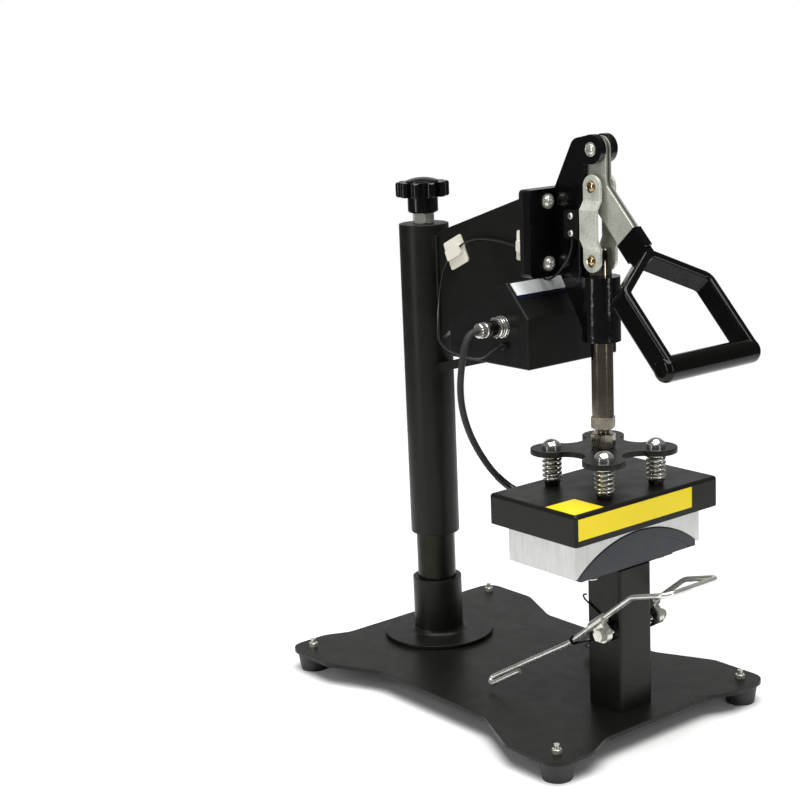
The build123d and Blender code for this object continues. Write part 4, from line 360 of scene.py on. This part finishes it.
# %% The heater's cable
CABLE_ROUTE = [
    (-78.0, -45.5, 360.5),
    (-84.0, -45.5, 360.5),
    (-89.5, -45.8, 357.0),
    (-92.8, -45.3, 351.0),
    (-93.6, -43.8, 343.5),
    (-93.2, -40.2, 330.5),
    (-91.8, -35.8, 314.0),
    (-89.2, -33.2, 297.5),
    (-85.0, -32.3, 281.0),
    (-79.0, -33.0, 264.5),
    (-71.0, -34.6, 248.5),
    (-61.0, -36.4, 233.0),
    (-52.8, -38.2, 223.0),
    (-46.8, -41.2, 216.2),
    (-43.2, -45.8, 212.0),
    (-42.0, -51.6, 210.5),
    (-42.0, -58.0, 210.5),
]
LEAD_ROUTE = [
    (-13.8, -98.7, 438.0),
    (-13.8, -98.7, 431.0),
    (-15.6, -95.8, 421.5),
    (-16.4, -88.5, 412.0),
    (-16.2, -79.0, 404.0),
    (-15.0, -68.0, 399.0),
    (-12.5, -56.5, 401.5),
    (-9.2, -48.0, 409.5),
    (-7.0, -39.5, 418.5),
    (-7.0, -24.5, 424.6),
    (-7.0, -3.0, 427.6),
    (-7.0, 17.0, 428.9),
    (-7.0, 37.0, 427.8),
    (-7.0, 55.0, 421.2),
    (-7.0, 70.5, 410.5),
    (-8.6, 78.0, 399.5),
    (-11.5, 80.5, 386.0),
    (-15.5, 80.0, 370.5),
    (-23.5, 73.5, 355.5),
    (-35.0, 60.5, 344.5),
    (-48.0, 44.0, 337.0),
    (-56.5, 24.0, 333.2),
    (-60.0, 3.0, 331.2),
    (-60.0, -18.0, 330.8),
    (-62.5, -31.5, 332.4),
    (-63.8, -40.4, 336.6),
    (-61.6, -45.6, 341.0),
    (-57.0, -47.3, 342.7),
    (-52.0, -47.3, 342.7),
]


def smooth_curve(name, route, radius):
    """A NURBS curve with the route's points as its control points."""
    data = bpy.data.curves.new(name, "CURVE")
    data.dimensions = "3D"
    data.resolution_u = 12
    spline = data.splines.new("NURBS")
    spline.points.add(len(route) - 1)
    for point, spot in zip(spline.points, route):
        point.co = (*at(*spot), 1.0)
    spline.order_u = 3
    spline.use_endpoint_u = True
    data.bevel_depth = radius * MM
    thing = bpy.data.objects.new(name, data)
    bpy.context.scene.collection.objects.link(thing)
    return thing


def centreline(name, route):
    """Points along a route's smooth curve, as Blender draws it."""
    guide = smooth_curve(name + "_guide", route, 0)
    drawn = bpy.data.meshes.new_from_object(guide)
    points = [v.co.copy() for v in drawn.vertices]
    bpy.data.objects.remove(guide)
    return points


def tube(bm, points, radius, sides, layer=None):
    """Carries a ring of sides along points, and returns the length it travelled.

    The UV layer runs round the ring and along the points, in turns of the tube's own girth.
    """
    rings = []
    side = Vector(UP).cross(points[1] - points[0]).normalized()
    travelled = 0.0
    lengths = [0.0]
    for i, here in enumerate(points):
        ahead = points[min(i + 1, len(points) - 1)] - points[max(i - 1, 0)]
        ahead.normalize()
        side = (side - ahead * side.dot(ahead)).normalized()
        over = ahead.cross(side)
        angles = [2 * pi * k / sides for k in range(sides)]
        spokes = [side * cos(angle) + over * sin(angle) for angle in angles]
        rings.append([bm.verts.new(here + spoke * radius * MM) for spoke in spokes])
        if i:
            travelled += (here - points[i - 1]).length
            lengths.append(travelled)
    for i in range(len(rings) - 1):
        for k in range(sides):
            j = (k + 1) % sides
            face = bm.faces.new((rings[i][k], rings[i][j], rings[i + 1][j], rings[i + 1][k]))
            if layer:
                uvs = ((k, i), (k + 1, i), (k + 1, i + 1), (k, i + 1))
                for loop, (u, v) in zip(face.loops, uvs):
                    loop[layer].uv = (u / sides, lengths[v] / (2 * pi * radius * MM))
    bm.faces.new(list(reversed(rings[0])))
    bm.faces.new(rings[-1])
    return travelled


# %% [markdown]
# A braided sleeve is two sets of yarns that cross at about 45 degrees. Two wave textures on the
# cable's own UV map, one leaning each way, give the crossing yarns, at 24 round the cable.

# %% The braid
braided_sleeve, tree, shader, place = new_material("braided_polyester_sleeve", "#121211", 0.55)
uv = add_node(tree, "ShaderNodeUVMap", uv_map="braid").outputs["UV"]
yarns = []
# half the yarns lean each way, and along an axis turned by 45 degrees they stand sqrt(2) closer
YARNS_EACH_WAY = 12
WAVE_UNIT = pi / 10  # the scale at which a wave node draws one wave in one unit
for lean in (1, -1):
    turned = add_node(tree, "ShaderNodeMapping", {"Rotation": (0, 0, lean * pi / 4)}, {"Vector": uv})
    wave = add_node(
        tree,
        "ShaderNodeTexWave",
        {"Scale": YARNS_EACH_WAY * sqrt(2) * WAVE_UNIT},
        {"Vector": turned.outputs["Vector"]},
        wave_profile="SIN",
    )
    yarns.append(wave.outputs["Fac"])
crossing = add_node(tree, "ShaderNodeMath", links={0: yarns[0], 1: yarns[1]}, operation="MAXIMUM")
dyed = ramp(tree, crossing.outputs[0], "#070707", "#1c1c1b", 0.4, 0.95)
tree.links.new(dyed, shader.inputs["Base Color"])
raise_surface(tree, shader, crossing.outputs[0], 0.25)
shrink_sleeve = satin_coat("heat_shrink_black", "#0c0c0c", "#111110", 0.32, 3.0, 0.03)
lead_pvc = satin_coat("pvc_lead_black", "#101010", "#151514", 0.30, 3.0, 0.01)

# %% Build the cords
CABLE_R = 3.0
SHRINK_R = 3.35
SHRINK_SPAN = slice(-46, -2)  # the points of the cable's last stretch, short of its very end
cable_line = centreline("heater_cable", CABLE_ROUTE)
bm = bmesh.new()
cable_length = tube(bm, cable_line, CABLE_R, 20, bm.loops.layers.uv.new("braid"))
cable = piece(bm, "heater_cable_braided", braided_sleeve, None, ["heater_cable"], 60)
bm = bmesh.new()
hanging = [p for p in cable_line if p.z < at(0, 0, 250).z]
tube(bm, hanging[SHRINK_SPAN], SHRINK_R, 20)
cable_shrink = piece(bm, "heater_cable_shrink", shrink_sleeve, None, (), 60)
# the box stays with the arm and the gland rises with the ram, but here the cable rides on neither
# body: its place is baked into its mesh, so it does not bend between them
for thing in (cable, cable_shrink):
    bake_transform(thing)
lead = smooth_curve("switch_lead_twin", LEAD_ROUTE, 1.0)
lead.data.bevel_resolution = 3
lead.data.materials.append(lead_pvc)
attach(lead, "arm")
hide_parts("switch_lead")
lead_line = centreline("switch_lead", LEAD_ROUTE)

# %% [markdown]
# ## Turned and threaded pieces
# On a lathe a profile turns round an axis, and Blender's spin does the same: a full turn makes a
# turned part, and a turn with a small rise at each step makes a helix, which is both a screw
# thread and a coil spring. A nut starts as a turned blank with a chamfer cone at each end. Its
# sides are then pressed in to a hexagon, which leaves the curved line that a real nut has at each
# corner.

# %% Lathe, thread, nut and coil


def facing(spot, direction):
    """A matrix that stands local Z on a spot, pointing in a direction."""
    turn = Vector(direction).to_track_quat("Z", "Y").to_matrix().to_4x4()
    return Matrix.Translation(at(*spot)) @ turn


def settle(bm, before, place):
    """Merges what was made since before, puts it in its place and turns its faces outwards."""
    new = [v for v in bm.verts if v not in before]
    bmesh.ops.remove_doubles(bm, verts=new, dist=1e-7)
    new = [v for v in bm.verts if v not in before]
    bmesh.ops.transform(bm, matrix=place, verts=new)
    bmesh.ops.recalc_face_normals(bm, faces=list({f for v in new for f in v.link_faces}))
    return new


def chain(bm, spots):
    """A line of joined points from (radius, height) pairs, ready to spin."""
    verts = [bm.verts.new((radius * MM, 0, height * MM)) for radius, height in spots]
    return verts + [bm.edges.new(pair) for pair in zip(verts, verts[1:])]


def climb(bm, geom, turns, rise, sides):
    """Spins geometry round Z, rising by so many millimetres a turn; returns where it ends."""
    steps = round(turns * sides)
    spun = bmesh.ops.spin(
        bm,
        geom=geom,
        cent=(0, 0, 0),
        axis=(0, 0, 1),
        dvec=(0, 0, rise * MM / sides),
        angle=2 * pi * steps / sides,
        steps=steps,
    )
    return spun["geom_last"]


def lathe(bm, place, profile, sides=40):
    """Spins (radius, height) points one full turn and closes both ends at the axis."""
    before = set(bm.verts)
    climb(bm, chain(bm, [(0, profile[0][1]), *profile, (0, profile[-1][1])]), 1, 0, sides)
    return settle(bm, before, place)


def screw_thread(bm, place, radius, length, pitch, sides=24):
    """Spins one tooth up a helix, then cuts both ends square and caps them."""
    before = set(bm.verts)
    root = radius - 0.6 * pitch
    tooth = [(root, -pitch), (radius, -0.55 * pitch), (radius, -0.45 * pitch), (root, 0)]
    climb(bm, chain(bm, tooth), int(length / pitch) + 2, pitch, sides)
    rod = settle(bm, before, Matrix())
    for level, way in ((0, -1), (length, 1)):
        edges = list({e for v in rod for e in v.link_edges})
        faces = list({f for v in rod for f in v.link_faces})
        cut = bmesh.ops.bisect_plane(
            bm,
            geom=rod + edges + faces,
            plane_co=(0, 0, level * MM),
            plane_no=(0, 0, way),
            clear_outer=True,
        )
        rim = [e for e in cut["geom_cut"] if isinstance(e, bmesh.types.BMEdge)]
        bmesh.ops.edgeloop_fill(bm, edges=rim)
        rod = [v for v in bm.verts if v not in before]
    return settle(bm, before, place)


def hex_nut(bm, place, flats, height):
    """A nut that stands on local Z = 0, with its corners turned off at 30 degrees."""
    seat = 0.48 * flats
    corner = flats / 2 / cos(pi / 6)
    drop = (corner - seat) * tan(radians(30))
    profile = [(seat, 0), (corner, drop), (corner, height - drop), (seat, height)]
    blank = lathe(bm, Matrix(), profile, 48)
    for v in blank:
        radius = v.co.xy.length / MM
        if radius > seat + 0.01:
            angle = atan2(v.co.y, v.co.x)
            reach = flats / 2 / cos((angle + pi / 6) % (pi / 3) - pi / 6)
            v.co.x *= reach / radius
            v.co.y *= reach / radius
            edge = (reach - seat) * tan(radians(30))
            v.co.z = (edge if v.co.z < height * MM / 2 else height - edge) * MM
    bmesh.ops.transform(bm, matrix=place, verts=blank)


def coil(bm, place, middle_r, wire_r, stages, sides=32):
    """Spins a wire's round section up a helix; each stage is (turns, rise a turn)."""
    before = set(bm.verts)
    start = Matrix.Translation((middle_r * MM, 0, wire_r * MM)) @ Matrix.Rotation(pi / 2, 4, "X")
    ring = bmesh.ops.create_circle(bm, segments=12, radius=wire_r * MM, matrix=start)["verts"]
    geom = ring + list({e for v in ring for e in v.link_edges})
    for turns, rise in stages:
        geom = climb(bm, geom, turns, rise, sides)
    made = settle(bm, before, place)
    rims = list({e for v in made for e in v.link_edges if e.is_boundary})
    bmesh.ops.holes_fill(bm, edges=rims, sides=0)


def slab(bm, low, high):
    """A block between two corners, in millimetres."""
    size = (Vector(high) - Vector(low)) * MM
    place = Matrix.Translation((at(*low) + at(*high)) / 2) @ Matrix.Diagonal((*size, 1))
    bmesh.ops.create_cube(bm, size=1.0, matrix=place)


# %% [markdown]
# The press head hangs on an M12 stud with a 1.75 mm pitch, between two nuts. The heater floats
# below it on four guide bolts, each inside a compression spring whose end coils are closed, so
# that they sit flat. On the press they squash as the head floats up; here they ride on the ram as one
# rigid piece.

# %% The stud and its nuts
bm = bmesh.new()
screw_thread(bm, facing((0, PRESS_Y, 247), UP), 5.95, 57.5, 1.75)
hex_nut(bm, facing((0, PRESS_Y, 272), UP), 19, 11)
hex_nut(bm, facing((0, PRESS_Y, 254.8), UP), 19, 12.6)
piece(bm, "head_stud_threaded", nut_steel, "ram", ["head_stud"])

# %% The head's springs
SPRING_LOW = 226.3
SPRING_HIGH = 249.8
SPRING_MIDDLE_R = 7.5
WIRE_R = 1.3
OPEN_TURNS = 4
END_TURNS = 0.8
GUIDE_REACH = 32
rise_in_open_turns = SPRING_HIGH - SPRING_LOW - 2 * WIRE_R - 2 * END_TURNS * 2 * WIRE_R
stages = [
    (END_TURNS, 2 * WIRE_R),
    (OPEN_TURNS, rise_in_open_turns / OPEN_TURNS),
    (END_TURNS, 2 * WIRE_R),
]
bm = bmesh.new()
collars = bmesh.new()
for x in (-GUIDE_REACH, GUIDE_REACH):
    for y in (PRESS_Y - GUIDE_REACH, PRESS_Y + GUIDE_REACH):
        coil(bm, facing((x, y, SPRING_LOW), UP), SPRING_MIDDLE_R, WIRE_R, stages)
        hex_nut(collars, facing((x, y, 220.9), UP), 12, 4.3)
        lathe(collars, facing((x, y, 225.1), UP), [(8.0, 0), (8.4, 0.3), (8.4, 0.7), (8.0, 1.0)])
springs = piece(bm, "head_springs_coiled", spring_bright, "ram", ["head_springs"], 60)
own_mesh(springs)
piece(collars, "guide_nuts_flanged", dark_nickel, "head", ["guide_nuts"])

# %% [markdown]
# A riveted pivot has a thin collar and a low dome where the pin's end was pressed over. The lower
# pair is yellow-passivated, which looks like pale brass beside the white zinc of the links.

# %% Rivets and pins
LEVER_PIVOT_Z = 513.8
LINK_PIVOT_Z = 482.5
PLUNGER_PIVOT_Z = 419.5


def dome(radius, height):
    """A profile for a pressed head: a collar, a shallow groove, then a dome."""
    inner = 0.78 * radius
    collar = [(radius, 0), (radius, 0.3 * height), (radius - 0.3, 0.38 * height)]
    groove = [(inner + 0.2, 0.3 * height)]
    angles = [radians(degrees) for degrees in range(0, 90, 12)]
    rise = [(inner * cos(a), 0.2 * height + 0.8 * height * sin(a)) for a in angles]
    return collar + groove + rise


def pivot(name, z, reach, pin_r, head_r, head_height, material, body, node):
    """A pin across the press with a pressed head at each end."""
    bm = bmesh.new()
    lathe(bm, facing((-reach, PRESS_Y, z), RIGHT), [(pin_r, 0), (pin_r, 2 * reach)])
    for way in (1, -1):
        lathe(bm, facing((way * reach, PRESS_Y, z), (way, 0, 0)), dome(head_r, head_height))
    piece(bm, name, material, body, [node], 24)


pivot("lever_pin_domed", LEVER_PIVOT_Z, 10.0, 5.0, 6.0, 2.0, zinc_plate, "arm", "lever_pin")
pivot("link_pin_domed", LINK_PIVOT_Z, 10.05, 4.0, 5.2, 2.0, brassy_rivet, "lever", "link_pin")
bm = bmesh.new()
for way in (1, -1):
    lathe(bm, facing((way * 8, PRESS_Y, PLUNGER_PIVOT_Z), (way, 0, 0)), [(4.0, 0), (4.0, 3.0)])
    lathe(bm, facing((way * 11, PRESS_Y, PLUNGER_PIVOT_Z), (way, 0, 0)), dome(5.2, 2.4))
piece(bm, "link_rivets_domed", brassy_rivet, "link_pair", ["link_rivets"], 24)

# %% [markdown]
# Small pan-head screws hold the micro switch and the control box. Each has a cross recess, drawn
# as painted shade: two thin dark plates that stand just proud of the head where the recess would be.

# %% Small screws
PAN = [(2.9, 0), (2.9, 0.5), (2.5, 1.1), (1.6, 1.4)]
bm = bmesh.new()
# painted shade: the recesses are not cut, dark plates in the rubber finish are laid on the heads
recess_shade = bmesh.new()
for z in (442.6, 457.4):
    lathe(bm, facing((-16, -99.4, z), LEFT), PAN, 32)
    slab(recess_shade, (-17.5, -99.7, z - 1.7), (-17.38, -99.1, z + 1.7))
    slab(recess_shade, (-17.5, -101.1, z - 0.3), (-17.38, -97.7, z + 0.3))
for y in (-24, -4):
    lathe(bm, facing((0, y, 321), DOWN), PAN, 32)
    lathe(bm, facing((0, y, 321), UP), [(1.5, 0), (1.5, 8)], 24)
    slab(recess_shade, (-0.3, y - 1.7, 319.5), (0.3, y + 1.7, 319.62))
    slab(recess_shade, (-1.7, y - 0.3, 319.5), (1.7, y + 0.3, 319.62))
piece(bm, "small_screws_pan_head", zinc_plate, "arm", ["small_screws"])
# the dark cross on each head is painted shade standing in for the recess
piece(recess_shade, "small_screw_painted_recess_shade", rubber, "arm")

# %% [markdown]
# The heater plugs in on the box's left side: a ribbed chrome ring on the box, a chrome coupling
# ring, a black nickel body, and a knurled nut that grips the cable.

# %% Socket and plug
PLUG_AXIS = (-45.5, 360.5)
KNURLS = 40
KNURL_DEPTH = 0.92
bm = bmesh.new()
ribs = [(9.8, 0), (9.8, 0.9), (9.2, 1.2), (9.2, 1.5), (9.8, 1.8), (9.8, 3.0), (9.2, 3.6), (7.6, 4.0)]
lathe(bm, facing((-49, *PLUG_AXIS), LEFT), ribs, 56)
lathe(bm, facing((-46.5, *PLUG_AXIS), RIGHT), [(9.8, 0), (9.8, 3.5), (9.3, 4.0)], 40)
piece(bm, "heater_socket_ribbed", chrome_plate, "arm", ["heater_socket"])
bm = bmesh.new()
ring = [(8.4, 0), (9.2, 0.4), (9.2, 1.5), (8.7, 1.8), (8.7, 2.1), (9.2, 2.4), (9.2, 4.4), (8.6, 5.0)]
collar = [(6.6, 0), (6.9, 0.3), (6.9, 1.7), (6.5, 2.0), (6.0, 2.2)]
lathe(bm, facing((-53, *PLUG_AXIS), LEFT), ring, 56)
lathe(bm, facing((-69, *PLUG_AXIS), LEFT), collar, 56)
knurl = 2 * pi / KNURLS
grip = lathe(bm, Matrix(), [(5.9, 0), (6.8, 0.5), (6.8, 5.6), (6.2, 6.4), (3.3, 6.8)], KNURLS)
for v in grip:
    if v.co.xy.length > 6.5 * MM and round(atan2(v.co.y, v.co.x) / knurl) % 2:
        v.co.x *= KNURL_DEPTH
        v.co.y *= KNURL_DEPTH
bmesh.ops.transform(bm, matrix=facing((-71.2, *PLUG_AXIS), LEFT), verts=grip)
piece(bm, "heater_plug_knurled", chrome_plate, "arm", ["heater_plug"], 24)
bm = bmesh.new()
body = [(7.0, 0), (7.0, 8.4), (6.5, 8.9), (6.5, 9.4), (6.9, 9.8), (6.9, 11)]
lathe(bm, facing((-58, *PLUG_AXIS), LEFT), body, 56)
piece(bm, "heater_plug_body", dark_nickel, "arm")

# %% [markdown]
# Two plain yellow labels are stuck on the heater's cover, one along the front and one on the top
# corner. The display is a pale film with a dark blue band below it.

# %% Labels and the display's band
LABELS = [
    ((-85, -172.12, 199), (54, -172, 217.6)),
    ((-85, -168, 220.9), (-51, -133, 221.02)),
]
bm = bmesh.new()
for low, high in LABELS:
    slab(bm, low, high)
piece(bm, "cover_labels_plain", label_film, "head")
# the box's slope falls SLOPE_DROP over SLOPE_RUN, and the band lies that way below the panel's top
SLOPE_RUN = 27
SLOPE_DROP = 30
PANEL_TOP = (5.5, -51, 400)
BAND_SIZE = (0.101, 0.0036, 0.0005)
down = Vector((0, -SLOPE_RUN, -SLOPE_DROP)).normalized()
outward = Vector((0, -SLOPE_DROP, SLOPE_RUN)).normalized()
middle = at(*PANEL_TOP) + (down * 17.1 + outward * 0.25) * MM
bm = bmesh.new()
lie = Matrix.Translation(middle) @ Matrix.Rotation(atan2(SLOPE_DROP, SLOPE_RUN), 4, "X")
bmesh.ops.create_cube(bm, size=1.0, matrix=lie @ Matrix.Diagonal((*BAND_SIZE, 1)))
piece(bm, "display_band", display_band, "arm")

# %% [markdown]
# A weld bead runs down each side of the gusset where it meets the tube. It is a row of small
# overlapping ripples, about 2.4 mm apart.

# %% Weld beads
BEAD_LOW = 329
BEAD_LENGTH = 98
BEAD_STEPS = 159
BEAD_R = 1.9
RIPPLE_PITCH = 2.4
RIPPLE_DEPTH = 0.22
bm = bmesh.new()
for side in (1, -1):
    points = []
    for i in range(BEAD_STEPS + 1):
        z = BEAD_LOW + BEAD_LENGTH * i / BEAD_STEPS
        ripple = RIPPLE_DEPTH * sin(2 * pi * z / RIPPLE_PITCH)
        points.append(at(side * (4.6 + ripple), 94.2 - ripple, z))
    tube(bm, points, BEAD_R, 12)
piece(bm, "gusset_weld_beads", powder_black, "arm", (), 60)

# %% [markdown]
# ## Softened steel and castings
# A real plate or casting never has a perfectly sharp edge, and the thin highlight along its edge
# is what makes it look solid. The CAD nodes are exact but sharp, so each of these pieces is a
# merged copy of its node, with the flat triangles dissolved and its edges bevelled a little.

# %% Copies with softened edges
SHARP_CORNER = radians(28)


def softened(node, width_mm, material, body):
    """A copy of a CAD node whose sharp edges are rounded by a fraction of a millimetre."""
    bm = bmesh.new()
    bm.from_mesh(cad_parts[node].data)
    bmesh.ops.remove_doubles(bm, verts=bm.verts, dist=1e-6)
    bmesh.ops.dissolve_limit(bm, angle_limit=radians(1.0), verts=bm.verts, edges=bm.edges)
    corners = [e for e in bm.edges if e.is_manifold and e.calc_face_angle(0) > SHARP_CORNER]
    bmesh.ops.bevel(
        bm,
        geom=corners,
        offset=width_mm * MM,
        offset_type="OFFSET",
        segments=2,
        profile=0.5,
        affect="EDGES",
        material=-1,
        clamp_overlap=True,
    )
    thing = piece(bm, node + "_finished", material, body, [node], 40)
    # big flat faces keep their own normals, so only the narrow rounded edges are shaded round
    even = thing.modifiers.new("even_faces", "WEIGHTED_NORMAL")
    even.keep_sharp = True
    return thing


SOFTENED = {
    "base_plate": (0.6, powder_black, "frame", "powder_black"),
    "column_socket": (0.6, powder_black, "frame", "powder_black"),
    "press_post": (0.4, powder_black, "frame", "powder_black"),
    "form_plate": (0.5, powder_black, "frame", "powder_black"),
    "cap_form": (0.6, silicone, "frame", "silicone"),
    "form_pad": (1.0, silicone, "frame", "silicone"),
    "height_tube": (0.8, powder_black, "arm", "powder_black"),
    "arm_gusset": (0.9, powder_black, "arm", "powder_black"),
    "clamp_body": (1.2, cast_enamel, "arm", "gloss_black"),
    "box_front": (0.35, abs_black, "arm", "abs_black"),
    "box_rear": (0.35, abs_black, "arm", "abs_black"),
    "box_bracket": (0.8, powder_black, "arm", "powder_black"),
    "micro_switch": (0.5, abs_black, "arm", "abs_black"),
    "lead_clips": (0.3, nylon, "arm", "clip_white"),
    "star_knob": (0.9, knob_black, "knob", "abs_black"),
    "lever": (0.5, laminated_zinc, "lever", "zinc"),
    "links": (0.5, strap_zinc, "link_pair", "zinc"),
    "spider": (0.8, powder_black, "ram", "powder_black"),
    "heating_block": (0.5, milled_aluminium, "head", "aluminium"),
    "clamp_screws": (0.3, zinc_plate, "arm", "zinc"),
    "handle_grip": (1.2, dipped_vinyl, "lever", "vinyl"),
}
for node, (width, material, body, slot_name) in SOFTENED.items():
    softened(node, width, material, body)

# %% [markdown]
# The rest of the CAD nodes have the right shape as they are, and only take a finish.

# %% Finishes for the nodes that stay
FINISHED = {
    "rubber_feet": (rubber, "rubber"),
    "socket_screws": (zinc_plate, "zinc"),
    "inner_post": (blackened_post, "dark_steel"),
    "post_nut": (blackened_post, "dark_steel"),
    "tube_cap": (powder_black, "powder_black"),
    "adjust_screw": (zinc_plate, "zinc"),
    "clamp_washers": (zinc_plate, "zinc"),
    "plunger": (turned_steel, "bare_steel"),
    "plunger_pin": (zinc_plate, "zinc"),
    "guide_bolts": (chrome_plate, "bare_steel"),
    "foot_screws": (zinc_plate, "zinc"),
    "form_screws": (zinc_plate, "zinc"),
    "tension_bail": (drawn_wire, "bare_steel"),
    "bail_hubs": (zinc_plate, "zinc"),
    "bail_bolt": (zinc_plate, "zinc"),
    "bail_springs": (spring_black, "spring_black"),
    "spring_hooks": (spring_black, "spring_black"),
    "heater_cover": (powder_black, "powder_black"),
    "insulation_board": (fibre_board, "board_white"),
    "heating_elements": (drawn_wire, "bare_steel"),
    "temperature_probe": (drawn_wire, "bare_steel"),
    "cable_gland": (abs_black, "abs_black"),
    "control_board": (board_green, "board_green"),
    "display_panel": (display_pale, "display"),
    "lead_grommet": (rubber, "rubber"),
    "mains_inlet": (abs_black, "abs_black"),
    "switch_frame": (abs_black, "abs_black"),
    "power_rocker": (knob_black, "abs_black"),
}
for node, (material, slot_name) in FINISHED.items():
    wear(node, material)

# %% [markdown]
# ## The studio
# The press stands on a flat white disc under big soft lights, and past its rim there is only white
# light. The world is bright where the camera sees it and dim everywhere else, so the backdrop is
# white but the dark steel isn't washed out. The floor is not part of the object; it is a plain disc
# built like any other piece.

# %% Floor and light
FLOOR_R = 1.15
bm = bmesh.new()
bmesh.ops.create_circle(bm, cap_ends=True, segments=96, radius=FLOOR_R)
floor_white, tree, shader, place = new_material("studio_floor", "#f4f4f3", 0.6)
piece(bm, "studio_floor", floor_white)

bpy.context.scene.view_settings.view_transform = "Standard"
world = bpy.data.worlds.new("studio")
world.use_nodes = True
tree = world.node_tree
seen = add_node(tree, "ShaderNodeLightPath").outputs["Is Camera Ray"]
glow = add_node(tree, "ShaderNodeMapRange", {"To Min": 0.12, "To Max": 1.0}, {"Value": seen})
tree.links.new(glow.outputs["Result"], tree.nodes["Background"].inputs["Strength"])
tree.nodes["Background"].inputs["Color"].default_value = colour("#ffffff")
bpy.context.scene.world = world


def soft_light(name, spot, target, size, power):
    """A soft light, size (across, up) in metres, that faces a point."""
    data = bpy.data.lights.new(name, "AREA")
    data.shape = "RECTANGLE"
    data.size, data.size_y = size
    data.energy = power
    thing = bpy.data.objects.new(name, data)
    aim = (Vector(spot) - Vector(target)).to_track_quat("Z", "Y").to_matrix().to_4x4()
    thing.matrix_world = Matrix.Translation(spot) @ aim
    # the lights show in reflections and shadows, but never as white panels in the picture
    thing.visible_camera = False
    bpy.context.scene.collection.objects.link(thing)


soft_light("top", (-0.15, -0.3, 2.4), (0, 0, 0), (2.4, 2.4), 112)
soft_light("backdrop_glow", (1.6, 2.0, 0.95), (0, 0, 0.4), (3.6, 1.8), 9)
soft_light("strip_left", (-2.0, 0.35, 0.8), (0, 0, 0.35), (0.25, 1.7), 12)
soft_light("strip_front", (0.05, -2.0, 0.8), (0, 0, 0.35), (0.2, 1.7), 9)
